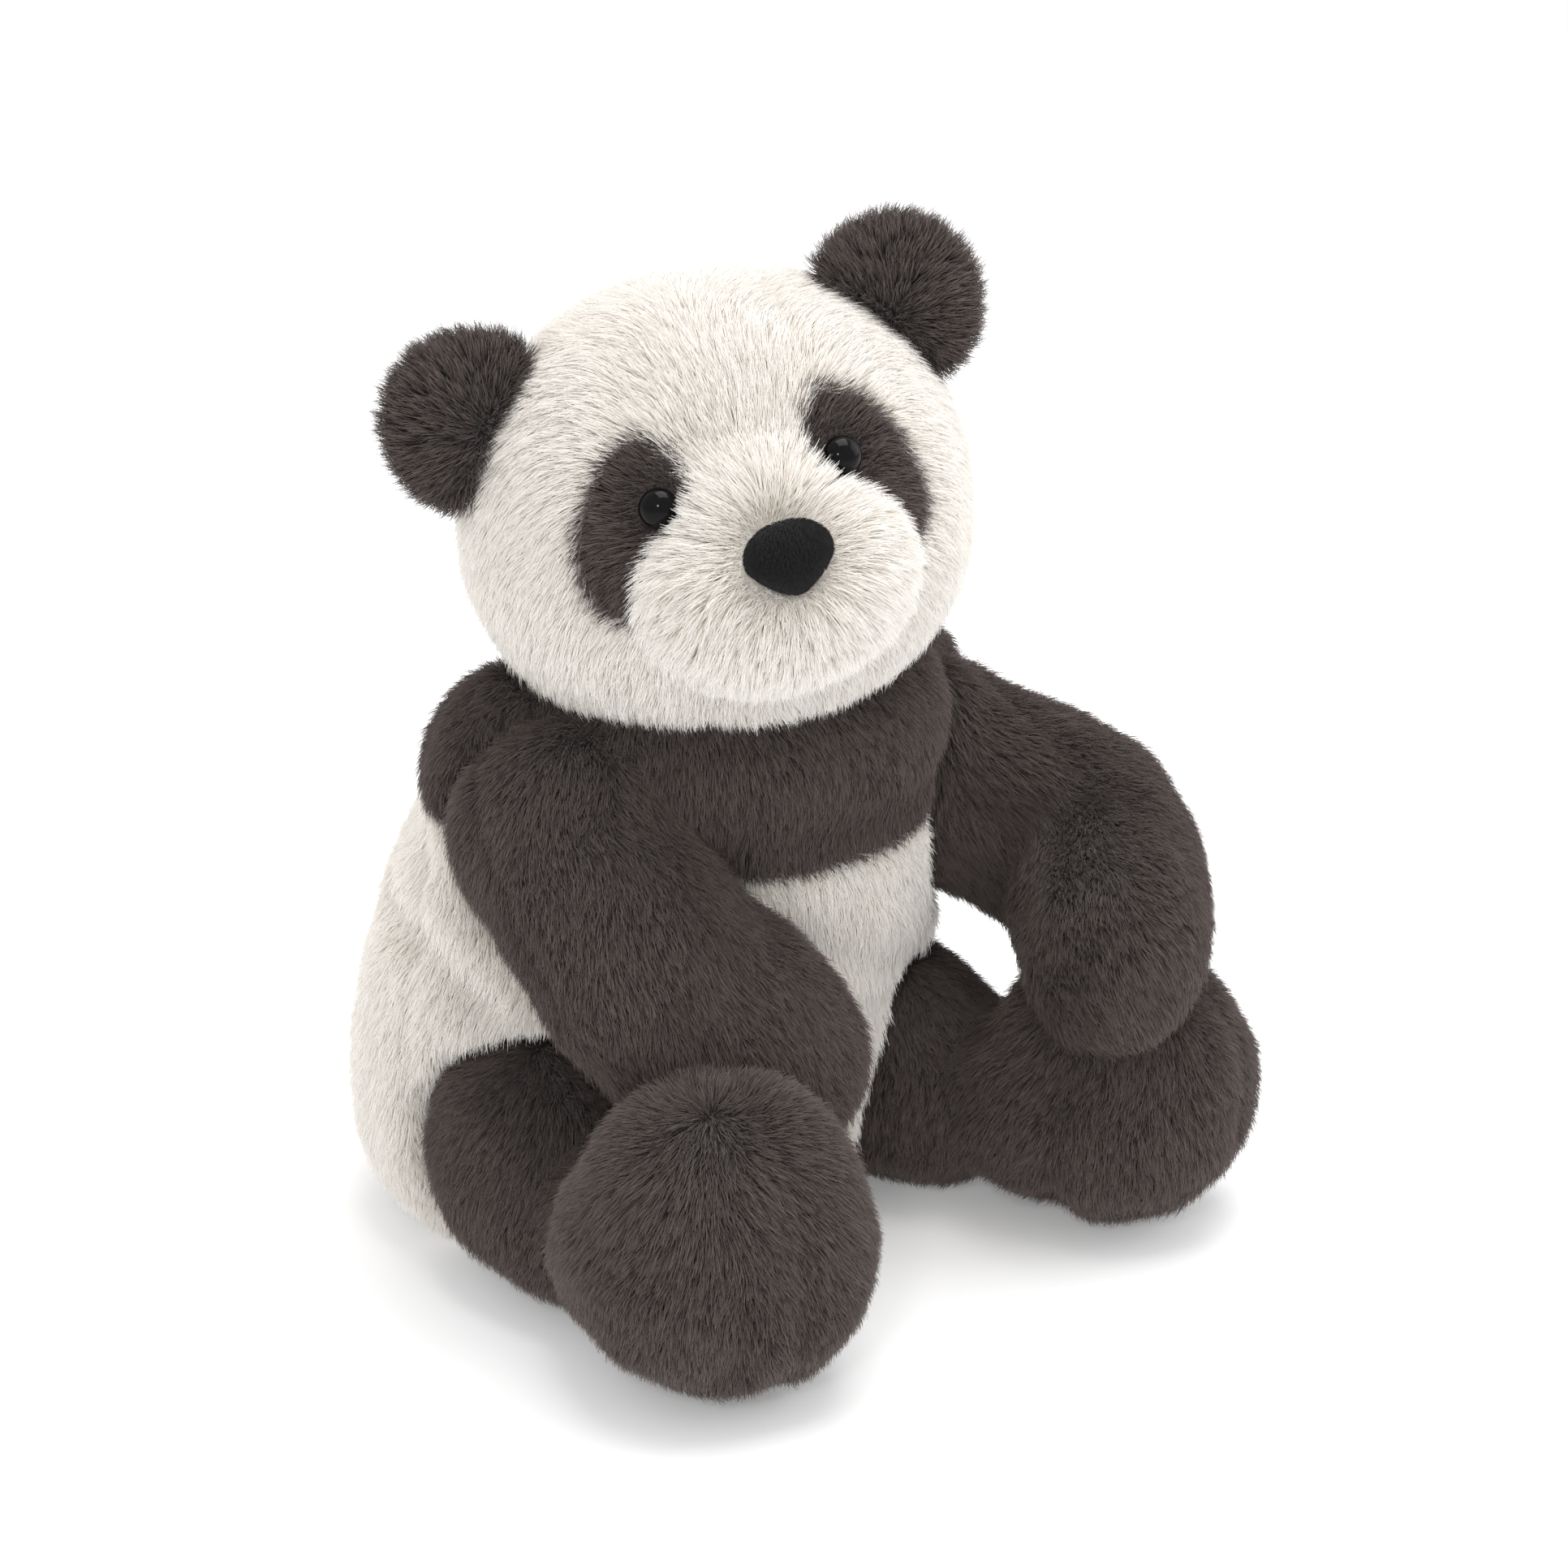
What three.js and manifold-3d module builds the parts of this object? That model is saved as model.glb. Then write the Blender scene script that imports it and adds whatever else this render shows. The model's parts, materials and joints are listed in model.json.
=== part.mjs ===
// Plush panda sitting on the floor: sewn plush skins over stuffing, a pellet pouch in the seat,
// safety eyes, a velvet nose, and limbs, head and ears that turn at their seams.
// Millimetres, +Z up. The toy faces -Y, and its own left is +X.
// The origin is on the floor, under the middle of the seat.

import * as THREE from 'three';
import { mergeVertices } from 'three/addons/utils/BufferGeometryUtils.js';
import Module from 'manifold-3d';

const wasm = await Module();
wasm.setup();
const { Manifold, Mesh } = wasm;

// ---------------------------------------------------------------- driving dimensions

const SEAM_GAP = 0.3;        // between panels sewn edge to edge, and between a skin and its filling
const REST_GAP = 0.5;        // between soft bodies that lie against each other
const JOINT_GAP = 0.8;       // between a rounded limb end and the socket that it turns in
const LIMB_GAP = 1.8;        // between a limb and the dent in the torso that it moves in
const PLUSH = 6;             // knitted backing and the pressed part of the pile

const torso = {
  height: 172, width: 174, depth: 144,
  lean: 34,                  // how far forward the top sits from the seat
  sway: 10,                  // how far to the toy's left the top sits
};

const shoulder = { height: 136, spread: 50, forward: -4, radius: 37, leftDrop: 10, leftOut: 12 };

const yoke = { frontHeight: 115, backHeight: 142 };

const head = {
  width: 138, height: 126, depth: 130,
  sink: 24,                  // how deep the head settles into the torso's top
  side: -12, forward: 7,     // from the torso's top centre to the head's centre
  yaw: -25, pitch: -9, roll: -12.5,
};

const muzzle = { width: 76, height: 54, reach: 22, drop: 15, halfDepth: 32, reachBack: 0.55 };
const nose = { width: 24, height: 19, depth: 10, drop: 5 };
const eye = {
  diameter: 10.5, rim: 0.4, bulge: 0.8,
  spread: 24.5, rise: 12,    // from the middle of the face
  stem: 3, stemLength: 13,
  washer: 11, washerThick: 1.6, washerBack: 3.5,
};
const patch = { width: 27, height: 50, lean: 24, rise: 7, out: 31, reachBack: 0.3 };
const gusset = { width: 44, nape: 0 };   // nape: how far back the chin piece reaches
const ear = {
  width: 48, height: 50, thickness: 21, skin: 4.2,
  sunk: 22,                  // how much of the height would lie inside the head
  spread: 53,                // degrees from the crown
  back: -12, fold: 20,
};

const neck = { halfAngle: 17, inner: 52, depth: 2, nod: 10, turn: 30 };

const arm = { root: 30, width: 70, thickness: 52, taper: 0.94, lift: 28 };

const leg = { root: 36, ankle: 27, footWidth: 82, footHeight: 78, splay: 10 };

const pouch = { radius: 36, height: 30, back: 20, lift: 0.3, wall: 1.2, mouth: 9, fill: 0.7 };

// How finely the limbs are faceted.
const FINE = { sides: 10, rings: 4, capRings: 2 };
const COARSE = { sides: 8, rings: 3, capRings: 2 };
const ROOMY = 1.05;           // a dent's facets lie outside the limb that rests in it

// ---------------------------------------------------------------- small helpers

const vec = (x, y, z) => new THREE.Vector3(x, y, z);
const radians = THREE.MathUtils.degToRad;

function solidOf(geometry) {
  const bare = geometry.clone();
  bare.deleteAttribute('normal');
  bare.deleteAttribute('uv');
  const merged = mergeVertices(bare, 1e-4);
  return new Manifold(new Mesh({
    numProp: 3,
    vertProperties: new Float32Array(merged.attributes.position.array),
    triVerts: new Uint32Array(merged.index.array),
  }));
}

// A closed geometry whose faces may point in, as a solid whose faces point out.
function outwards(geometry) {
  const solid = solidOf(geometry);
  if (solid.volume() > 0) return solid;
  const flipped = geometry.clone();
  const count = flipped.attributes.position.count;
  const index = flipped.index ? [...flipped.index.array] : Array.from({ length: count }, (_, i) => i);
  for (let i = 0; i < index.length; i += 3) [index[i + 1], index[i + 2]] = [index[i + 2], index[i + 1]];
  flipped.setIndex(index);
  return solidOf(flipped);
}

function geometryOf(solid) {
  const { vertProperties, triVerts, numProp } = solid.getMesh();
  const geometry = new THREE.BufferGeometry();
  const position = new Float32Array((vertProperties.length / numProp) * 3);
  for (let i = 0; i < position.length / 3; i += 1) {
    for (let axis = 0; axis < 3; axis += 1) position[i * 3 + axis] = vertProperties[i * numProp + axis];
  }
  geometry.setAttribute('position', new THREE.BufferAttribute(position, 3));
  geometry.setIndex([...triVerts]);
  geometry.computeVertexNormals();
  return geometry;
}

const transformed = (solid, matrix) => solid.transform(matrix.elements);

// Rings of equal point counts become one closed solid, with a fan over each end.
function ringSolid(rings) {
  const sides = rings[0].length;
  const points = rings.flat();
  const centre = (ring) => ring.reduce((sum, p) => sum.add(p), vec(0, 0, 0)).divideScalar(sides);
  points.push(centre(rings[0]), centre(rings.at(-1)));
  const first = points.length - 2;
  const last = points.length - 1;
  const faces = [];
  for (let s = 0; s < sides; s += 1) {
    const next = (s + 1) % sides;
    faces.push(first, next, s);
    const top = (rings.length - 1) * sides;
    faces.push(last, top + s, top + next);
    for (let r = 0; r < rings.length - 1; r += 1) {
      const a = r * sides;
      const b = a + sides;
      faces.push(a + s, a + next, b + next, a + s, b + next, b + s);
    }
  }
  const geometry = new THREE.BufferGeometry().setFromPoints(points);
  geometry.setIndex(faces);
  return solidOf(geometry);
}

function ellipsoid(centre, radii, sides = 24) {
  const geometry = new THREE.SphereGeometry(1, sides, Math.round(sides * 0.6));
  geometry.rotateX(Math.PI / 2);
  geometry.scale(radii.x, radii.y, radii.z);
  geometry.translate(centre.x, centre.y, centre.z);
  return solidOf(geometry);
}

const ball = (centre, radius, sides = 24) => ellipsoid(centre, vec(radius, radius, radius), sides);

// A faceted ball whose flats lie outside the true ball.
const ballRoom = (centre, radius, sides) => ball(centre, radius / Math.cos(Math.PI / sides) ** 2, sides);

// A very large box on the side of a plane that its normal points to.
function halfSpace(point, normal) {
  const size = 600;
  const geometry = new THREE.BoxGeometry(size, size, size);
  geometry.translate(0, 0, size / 2);
  const turn = new THREE.Quaternion().setFromUnitVectors(vec(0, 0, 1), normal.clone().normalize());
  geometry.applyQuaternion(turn);
  geometry.translate(point.x, point.y, point.z);
  return solidOf(geometry);
}

function turnAbout(pivot, axis, degrees) {
  const matrix = new THREE.Matrix4().makeTranslation(pivot);
  matrix.multiply(new THREE.Matrix4().makeRotationAxis(axis, radians(degrees)));
  return matrix.multiply(new THREE.Matrix4().makeTranslation(pivot.clone().negate()));
}

// What a solid passes through as it turns about an axis, as a list of its stations.
function stations(solid, pivot, axis, from, to, steps) {
  const list = [];
  for (let i = 0; i <= steps; i += 1) {
    const angle = from + ((to - from) * i) / steps;
    list.push(transformed(solid, turnAbout(pivot, axis, angle)));
  }
  return list;
}

const without = (solid, cutters) => Manifold.difference([solid, ...cutters]);

// A limb: an elliptical section along a smooth spine, with rounded ends.
// Each station is { at, wide, thick } with half sizes, and broad is the section's wide direction.
function limbSolid(stationsList, broad, grow, detail, scale = 1) {
  const { sides, rings, capRings } = detail;
  const spine = new THREE.CatmullRomCurve3(stationsList.map((s) => s.at), false, 'centripetal');
  const blendOf = (key, t) => {
    const span = t * (stationsList.length - 1);
    const i = Math.min(Math.floor(span), stationsList.length - 2);
    const f = span - i;
    const smooth = f * f * (3 - 2 * f);
    return scale * (stationsList[i][key] * (1 - smooth) + stationsList[i + 1][key] * smooth) + grow;
  };
  const ringAt = (t, along, shrink) => {
    const tangent = spine.getTangent(t);
    const thickWay = new THREE.Vector3().crossVectors(tangent, broad).normalize();
    const wideWay = new THREE.Vector3().crossVectors(thickWay, tangent).normalize();
    const wide = blendOf('wide', t);
    const thick = blendOf('thick', t);
    const middle = spine.getPoint(t).addScaledVector(tangent, along * Math.min(wide, thick * 1.15));
    const ring = [];
    for (let s = 0; s < sides; s += 1) {
      const angle = (2 * Math.PI * s) / sides;
      const point = middle.clone().addScaledVector(wideWay, Math.cos(angle) * wide * shrink);
      ring.push(point.addScaledVector(thickWay, Math.sin(angle) * thick * shrink));
    }
    return ring;
  };
  const all = [];
  for (let c = 1; c <= capRings; c += 1) {
    const angle = (-Math.PI / 2) * (1 - c / (capRings + 1));
    all.push(ringAt(0, Math.sin(angle), Math.cos(angle)));
  }
  for (let r = 0; r <= rings; r += 1) all.push(ringAt(r / rings, 0, 1));
  for (let c = capRings; c >= 1; c -= 1) {
    const angle = (Math.PI / 2) * (1 - c / (capRings + 1));
    all.push(ringAt(1, Math.sin(angle), Math.cos(angle)));
  }
  return ringSolid(all);
}

// ---------------------------------------------------------------- materials

const finish = (colour, roughness) => new THREE.MeshStandardMaterial({
  color: colour, roughness, metalness: 0,
});
const darkPlush = finish(0x3f3835, 0.95);
const whitePlush = finish(0xece4d8, 0.95);
const velvet = finish(0x141214, 0.9);
const glossBlack = finish(0x080808, 0.12);
const clearPlastic = finish(0xd8d8d4, 0.4);
const fibre = finish(0xf4f4f0, 1);
const pouchCloth = finish(0xd9d4c6, 0.9);
const pellets = finish(0xe6e6e0, 0.5);

// ---------------------------------------------------------------- torso shape

// Share of the height, then of the width and of the depth.
const TORSO_PROFILE = [
  [0.00, 0.78, 0.82], [0.05, 0.90, 0.92], [0.15, 0.975, 0.98], [0.28, 1.00, 1.00],
  [0.44, 0.99, 0.985], [0.60, 0.96, 0.94], [0.74, 0.88, 0.87], [0.86, 0.77, 0.77],
  [0.95, 0.65, 0.66], [1.00, 0.50, 0.50],
];

function torsoLevel(share) {
  let i = 0;
  while (i < TORSO_PROFILE.length - 2 && TORSO_PROFILE[i + 1][0] < share) i += 1;
  const [low, high] = [TORSO_PROFILE[i], TORSO_PROFILE[i + 1]];
  const f = (share - low[0]) / (high[0] - low[0]);
  const mix = (k) => low[k] + (high[k] - low[k]) * f;
  return {
    centre: vec(torso.sway * share * share, -torso.lean * share * share, torso.height * share),
    halfWidth: (torso.width / 2) * mix(1),
    halfDepth: (torso.depth / 2) * mix(2),
  };
}

// A point on the torso's surface: angle 0 is the front, 90 the toy's left, -90 its right.
function torsoPoint(height, angle, outward = 0) {
  const level = torsoLevel(height / torso.height);
  const a = radians(angle);
  return vec(
    level.centre.x + (level.halfWidth + outward) * Math.sin(a),
    level.centre.y - (level.halfDepth + outward) * Math.cos(a),
    height,
  );
}

function torsoLoft(inset, sides) {
  const rings = TORSO_PROFILE.map(([share]) => {
    const level = torsoLevel(share);
    const low = share === 0 ? inset : 0;
    const high = share === 1 ? -inset : 0;
    const ring = [];
    for (let s = 0; s < sides; s += 1) {
      const a = (2 * Math.PI * s) / sides;
      ring.push(vec(
        level.centre.x + (level.halfWidth - inset) * Math.cos(a),
        level.centre.y + (level.halfDepth - inset) * Math.sin(a),
        level.centre.z + low + high,
      ));
    }
    return ring;
  });
  return ringSolid(rings);
}

const shoulderCentre = (side) => vec(
  torsoLevel(shoulder.height / torso.height).centre.x
    + side * shoulder.spread + (side > 0 ? shoulder.leftOut : 0),
  torsoLevel(shoulder.height / torso.height).centre.y + shoulder.forward,
  shoulder.height - (side > 0 ? shoulder.leftDrop : 0),
);

function torsoBody(inset, sides) {
  const caps = [-1, 1].map((side) => ball(shoulderCentre(side), shoulder.radius - inset, sides - 6));
  return Manifold.union([torsoLoft(inset, sides), ...caps]);
}

// ---------------------------------------------------------------- where the moving parts sit

const torsoTop = torsoLevel(1).centre;
const headCentre = torsoTop.clone().add(vec(head.side, -head.forward, head.height / 2 - head.sink));
const headSeat = Math.max(head.width, head.depth) / 2 + JOINT_GAP;
const headMatrix = new THREE.Matrix4().makeTranslation(headCentre)
  .multiply(new THREE.Matrix4().makeRotationZ(radians(head.yaw)))
  .multiply(new THREE.Matrix4().makeRotationX(radians(head.pitch)))
  .multiply(new THREE.Matrix4().makeRotationY(radians(head.roll)));

const intoHead = new THREE.Matrix4().extractRotation(headMatrix).invert();

const handR = {
  root: torsoPoint(130, -61, -7),
  elbow: vec(-52, -79, 101),
  paw: vec(-26, -93, 71),
  broad: vec(1, -0.2, -0.45).normalize(),
};
const handL = {
  root: torsoPoint(121, 70, -5),
  elbow: vec(104, -74, 101),
  paw: vec(81, -116, 87),
  broad: vec(0.02, 0.545, -0.838).normalize(),
};

const hipR = torsoPoint(36, -51, -14);
const hipL = torsoPoint(36, 50, -10);
const footR = vec(-61, -121, leg.footHeight / 2);
const footL = vec(92, -104, leg.footHeight / 2);

const up = vec(0, 0, 1);

function liftAxis(hand, heading) {
  const along = hand.paw.clone().sub(hand.root).normalize();
  return new THREE.Vector3().crossVectors(along, heading).normalize();
}
const liftR = liftAxis(handR, vec(-0.3, -0.2, 0.93));
const liftL = liftAxis(handL, vec(-0.2, -0.2, 0.93));

// ---------------------------------------------------------------- limbs

function armSolid(hand, grow, detail, scale) {
  return limbSolid([
    { at: hand.root, wide: arm.root, thick: arm.root },
    { at: hand.elbow, wide: arm.width / 2, thick: arm.thickness / 2 },
    { at: hand.paw, wide: (arm.width / 2) * arm.taper, thick: (arm.thickness / 2) * arm.taper },
  ], hand.broad, grow, detail, scale);
}

function legSolid(hip, foot, grow, detail, scale) {
  const middle = hip.clone().lerp(foot, 0.5);
  const ankle = vec(middle.x, middle.y, leg.ankle + 1);
  const heel = foot.clone().lerp(middle, 0.22);
  return limbSolid([
    { at: hip, wide: leg.root, thick: leg.root },
    { at: ankle, wide: leg.ankle + 3, thick: leg.ankle },
    { at: heel, wide: leg.footWidth / 2 - 1, thick: leg.footHeight / 2 - 1 },
    { at: foot, wide: leg.footWidth / 2, thick: leg.footHeight / 2 },
  ], vec(foot.y - hip.y, hip.x - foot.x, 0).normalize(), grow, detail, scale);
}

// The room that the arms take, from rest to the end of their lift, a little larger than the arms.
const armRoom = (hand, axis, grow, detail, steps) => stations(
  armSolid(hand, grow, detail, ROOMY), hand.root, axis, 0, arm.lift, steps,
);

// A leg turns away from the torso, so its dent fits closely except round the ball of its root.
const limbRoom = (grow, detail) => [
  ...armRoom(handR, liftR, grow, detail, 1), ...armRoom(handL, liftL, grow, detail, 1),
  ...[[hipR, footR], [hipL, footL]].flatMap(([hip, foot]) => [
    legSolid(hip, foot, grow - LIMB_GAP + REST_GAP, detail),
    ballRoom(hip, leg.root + grow, detail.sides + 2),
  ]),
];

// What a leg gives way to: its arm as it lifts, and the resting arm as the leg itself turns under it.
const handRoom = (hand, axis, hip, splay, grow, detail, steps) => [
  ...armRoom(hand, axis, grow, detail, steps),
  transformed(armSolid(hand, grow, detail, ROOMY), turnAbout(hip, up, -splay / 2)),
  transformed(armSolid(hand, grow, detail, ROOMY), turnAbout(hip, up, -splay)),
];

// ---------------------------------------------------------------- neck

// A plug of stuffing: a slice of a ball about the head's centre, inside a cone.
function neckPlug(grow, wider = 0) {
  const steps = 4;
  const inside = neck.inner - grow;
  const outside = headSeat + PLUSH + neck.depth + grow;
  const edge = radians(neck.halfAngle + wider);
  const profile = [];
  for (let i = 0; i <= steps; i += 1) {
    const a = (edge * i) / steps;
    const side = grow * (i / steps);
    profile.push(new THREE.Vector2(outside * Math.sin(a) + side, -outside * Math.cos(a)));
  }
  for (let i = steps; i >= 0; i -= 1) {
    const a = (edge * i) / steps;
    const side = grow * (i / steps);
    profile.push(new THREE.Vector2(inside * Math.sin(a) + side, -inside * Math.cos(a)));
  }
  profile[0].x = 0;
  profile.at(-1).x = 0;
  const geometry = new THREE.LatheGeometry(profile, 16);
  geometry.rotateX(Math.PI / 2);
  return outwards(geometry);
}

// ---------------------------------------------------------------- head shapes, in the head's own frame

const headHalf = vec(head.width / 2, head.depth / 2, head.height / 2);
const muzzleCentre = vec(0, -(headHalf.y + muzzle.reach - muzzle.halfDepth), -muzzle.drop);
const noseCentre = vec(0, -(headHalf.y + muzzle.reach) + nose.depth * 0.15, nose.drop * -1);

function headForm(inset, sides) {
  const cranium = ellipsoid(vec(0, 0, 0), headHalf.clone().subScalar(inset), sides);
  const jowls = ellipsoid(
    vec(0, -3, -head.height * 0.08),
    vec(headHalf.x * 0.97 - inset, headHalf.y * 0.95 - inset, headHalf.z * 0.82 - inset), sides,
  );
  const snout = ellipsoid(
    muzzleCentre,
    vec(muzzle.width / 2 - inset, muzzle.halfDepth - inset, muzzle.height / 2 - inset), sides - 6,
  );
  return Manifold.union([cranium, jowls, snout]);
}

// The head surface's forward point above a place on the face.
function faceY(x, z) {
  const share = 1 - (x / headHalf.x) ** 2 - (z / headHalf.z) ** 2;
  return -headHalf.y * Math.sqrt(Math.max(share, 0.05));
}

// A prism from front to back with an elliptical outline, leaning about the front-back axis.
function facePrism(x, z, halfWidth, halfHeight, leanDegrees, grow) {
  const outline = new THREE.Shape();
  outline.absellipse(0, 0, halfWidth + grow, halfHeight + grow, 0, 2 * Math.PI);
  const geometry = new THREE.ExtrudeGeometry(outline, {
    depth: head.depth, bevelEnabled: false, curveSegments: 6,
  });
  geometry.rotateX(Math.PI / 2);
  geometry.rotateY(radians(leanDegrees));
  geometry.translate(x, 0, z);
  return outwards(geometry);
}

const muzzleRegion = (grow) => facePrism(
  0, -muzzle.drop, muzzle.width / 2 - 1, muzzle.height / 2 + 1, 0, grow,
).intersect(halfSpace(vec(0, -headHalf.y * muzzle.reachBack + grow, 0), vec(0, -1, 0)));
const patchRegion = (sign, grow) => facePrism(
  sign * patch.out, patch.rise, patch.width / 2, patch.height / 2, -sign * patch.lean, grow,
).intersect(halfSpace(vec(0, -headHalf.y * patch.reachBack + grow, 0), vec(0, -1, 0)));

// ---------------------------------------------------------------- eyes, washers, nose

function eyePlace(sign) {
  const x = sign * eye.spread;
  const z = eye.rise;
  const at = vec(x, faceY(x, z), z);
  const out = vec(at.x / headHalf.x ** 2, at.y / headHalf.y ** 2, at.z / headHalf.z ** 2).normalize();
  return { at, out };
}

function along(place, geometry) {
  const turn = new THREE.Quaternion().setFromUnitVectors(vec(0, 1, 0), place.out);
  geometry.applyQuaternion(turn);
  geometry.translate(place.at.x, place.at.y, place.at.z);
  return outwards(geometry);
}

// A dome with a flat back, on a stem with a barb.
function eyeSolid(place) {
  const radius = eye.diameter / 2;
  const stem = eye.stem / 2;
  const profile = [new THREE.Vector2(0, -eye.stemLength), new THREE.Vector2(stem, -eye.stemLength)];
  profile.push(new THREE.Vector2(stem, 0), new THREE.Vector2(radius - eye.rim, 0));
  const steps = 4;
  for (let i = 0; i <= steps; i += 1) {
    const a = (Math.PI / 2) * (i / steps);
    profile.push(new THREE.Vector2(radius * Math.cos(a), eye.rim + radius * eye.bulge * Math.sin(a)));
  }
  profile.at(-1).x = 0;
  return along(place, new THREE.LatheGeometry(profile, 12));
}

function eyeShaft(place, radius, from, to) {
  const geometry = new THREE.CylinderGeometry(radius, radius, to - from, 10);
  geometry.translate(0, (from + to) / 2, 0);
  return along(place, geometry);
}

function noseSolid(grow) {
  const size = vec(nose.width / 2 + grow, nose.depth / 2 + grow, nose.height / 2 + grow);
  return ellipsoid(noseCentre, size, 14);
}

// ---------------------------------------------------------------- ears

function earFrame(sign) {
  const a = radians(ear.spread);
  const out = vec(sign * Math.sin(a), 0, Math.cos(a));
  const foot = vec(out.x * headHalf.x, ear.back, out.z * headHalf.z);
  const matrix = new THREE.Matrix4().makeTranslation(foot);
  matrix.multiply(new THREE.Matrix4().makeRotationY(sign * a));
  return { matrix, foot };
}

// The ear stands up along Z from its sewn foot, a flat rounded lobe that faces the front.
function earForm(inset) {
  const centre = vec(0, 0, ear.height / 2 - ear.sunk);
  const half = vec(ear.width / 2, ear.thickness / 2, ear.height / 2);
  return ellipsoid(centre, half.subScalar(inset), 16);
}

// ---------------------------------------------------------------- pellet pouch

// A squat bag standing on its own origin.
function pouchForm(inset) {
  const half = pouch.height * 0.6;
  const sides = vec(pouch.radius - inset, pouch.radius * 0.8 - inset, half - inset);
  return ellipsoid(vec(0, 0, pouch.height - half), sides, 14).intersect(halfSpace(vec(0, 0, inset), up));
}

// The hollow that the pouch lies in, open at the bottom of the filling.
function pouchRoom() {
  const geometry = new THREE.CylinderGeometry(pouch.radius * 0.9, pouch.radius * 0.9, pouch.height, 14);
  geometry.rotateX(Math.PI / 2);
  geometry.scale(1, 0.8, 1);
  return pouchForm(-SEAM_GAP).add(solidOf(geometry));
}

function pouchMouth() {
  const geometry = new THREE.CylinderGeometry(pouch.mouth, pouch.mouth, pouch.height, 16);
  geometry.rotateX(Math.PI / 2);
  geometry.translate(0, 0, pouch.height);
  return solidOf(geometry);
}

// ---------------------------------------------------------------- assembly

const toy = new THREE.Group();
const neckGroup = new THREE.Group();
neckGroup.position.copy(headCentre);
const headGroup = new THREE.Group();
headGroup.applyMatrix4(headMatrix);
toy.add(neckGroup, headGroup);

// Trimming leaves thin loose crumbs beside a panel, and the panel is the largest body.
function panel(solid) {
  const bodies = solid.decompose();
  return bodies.reduce((best, body) => (body.volume() > best.volume() ? body : best), bodies[0]);
}

function addPiece(group, name, solid, material) {
  const mesh = new THREE.Mesh(geometryOf(panel(solid)), material);
  mesh.name = name;
  group.add(mesh);
}

const inWorld = (solid) => transformed(solid, new THREE.Matrix4().makeTranslation(headCentre));

// Torso skins: one shell that presses in under the head, the arms and the legs, cut at its seams.
{
  const outer = without(torsoBody(0, 24), [
    ballRoom(headCentre, headSeat, 20), inWorld(neckPlug(JOINT_GAP)), ...limbRoom(LIMB_GAP, FINE),
  ]);
  const inner = without(torsoBody(PLUSH, 16), [
    ballRoom(headCentre, headSeat + PLUSH, 14), ...limbRoom(LIMB_GAP + PLUSH, COARSE),
  ]);
  const shell = outer.subtract(inner);
  const frontY = torsoPoint(yoke.frontHeight, 0).y;
  const backY = torsoPoint(yoke.backHeight, 180).y;
  const seamNormal = vec(0, yoke.frontHeight - yoke.backHeight, backY - frontY).normalize();
  const seamPoint = vec(0, frontY, yoke.frontHeight);
  const aboveYoke = halfSpace(seamPoint, seamNormal);
  const belowYoke = halfSpace(
    seamPoint.clone().addScaledVector(seamNormal, -SEAM_GAP), seamNormal.clone().negate(),
  );
  const sideY = torsoLevel(0.5).centre.y;
  const front = halfSpace(vec(0, sideY - SEAM_GAP / 2, 0), vec(0, -1, 0));
  const back = halfSpace(vec(0, sideY + SEAM_GAP / 2, 0), vec(0, 1, 0));
  const leftSide = halfSpace(vec(SEAM_GAP / 2, 0, 0), vec(1, 0, 0));
  const rightSide = halfSpace(vec(-SEAM_GAP / 2, 0, 0), vec(-1, 0, 0));
  const yokeShell = shell.intersect(aboveYoke);
  addPiece(toy, 'chest_yoke', yokeShell.intersect(front), darkPlush);
  addPiece(toy, 'back_yoke', yokeShell.intersect(back), darkPlush);
  const walls = shell.intersect(belowYoke).intersect(halfSpace(vec(0, 0, PLUSH + SEAM_GAP), up));
  addPiece(toy, 'tummy_panel', walls.intersect(front), whitePlush);
  addPiece(toy, 'back_panel_left', walls.intersect(back).intersect(leftSide), whitePlush);
  addPiece(toy, 'back_panel_right', walls.intersect(back).intersect(rightSide), whitePlush);
  addPiece(toy, 'base_panel', outer.intersect(halfSpace(vec(0, 0, PLUSH), vec(0, 0, -1))), whitePlush);
}

// Torso filling, with the pellet pouch buried at the back of the seat.
{
  const buried = PLUSH + SEAM_GAP;
  const pouchAt = vec(0, pouch.back, buried + SEAM_GAP + pouch.lift);
  const pouchPlace = new THREE.Matrix4().makeTranslation(pouchAt);
  const pouchOuter = transformed(pouchForm(0), pouchPlace);
  const pouchInner = transformed(pouchForm(pouch.wall), pouchPlace);
  const mouth = transformed(pouchMouth(), pouchPlace);
  const filling = without(torsoBody(buried, 16), [
    ballRoom(headCentre, headSeat + buried, 14), ...limbRoom(LIMB_GAP + buried, COARSE),
    inWorld(neckPlug(JOINT_GAP)), transformed(pouchRoom(), pouchPlace),
  ]);
  addPiece(toy, 'torso_stuffing', filling, fibre);
  addPiece(toy, 'pellet_pouch', without(pouchOuter, [pouchInner, mouth]), pouchCloth);
  const level = halfSpace(vec(0, 0, buried + pouch.lift + pouch.height * pouch.fill), vec(0, 0, -1));
  const hollow = transformed(pouchForm(pouch.wall + SEAM_GAP), pouchPlace);
  addPiece(toy, 'pellet_fill', hollow.intersect(level), pellets);
}

addPiece(neckGroup, 'neck_stuffing', neckPlug(0), fibre);

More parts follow.
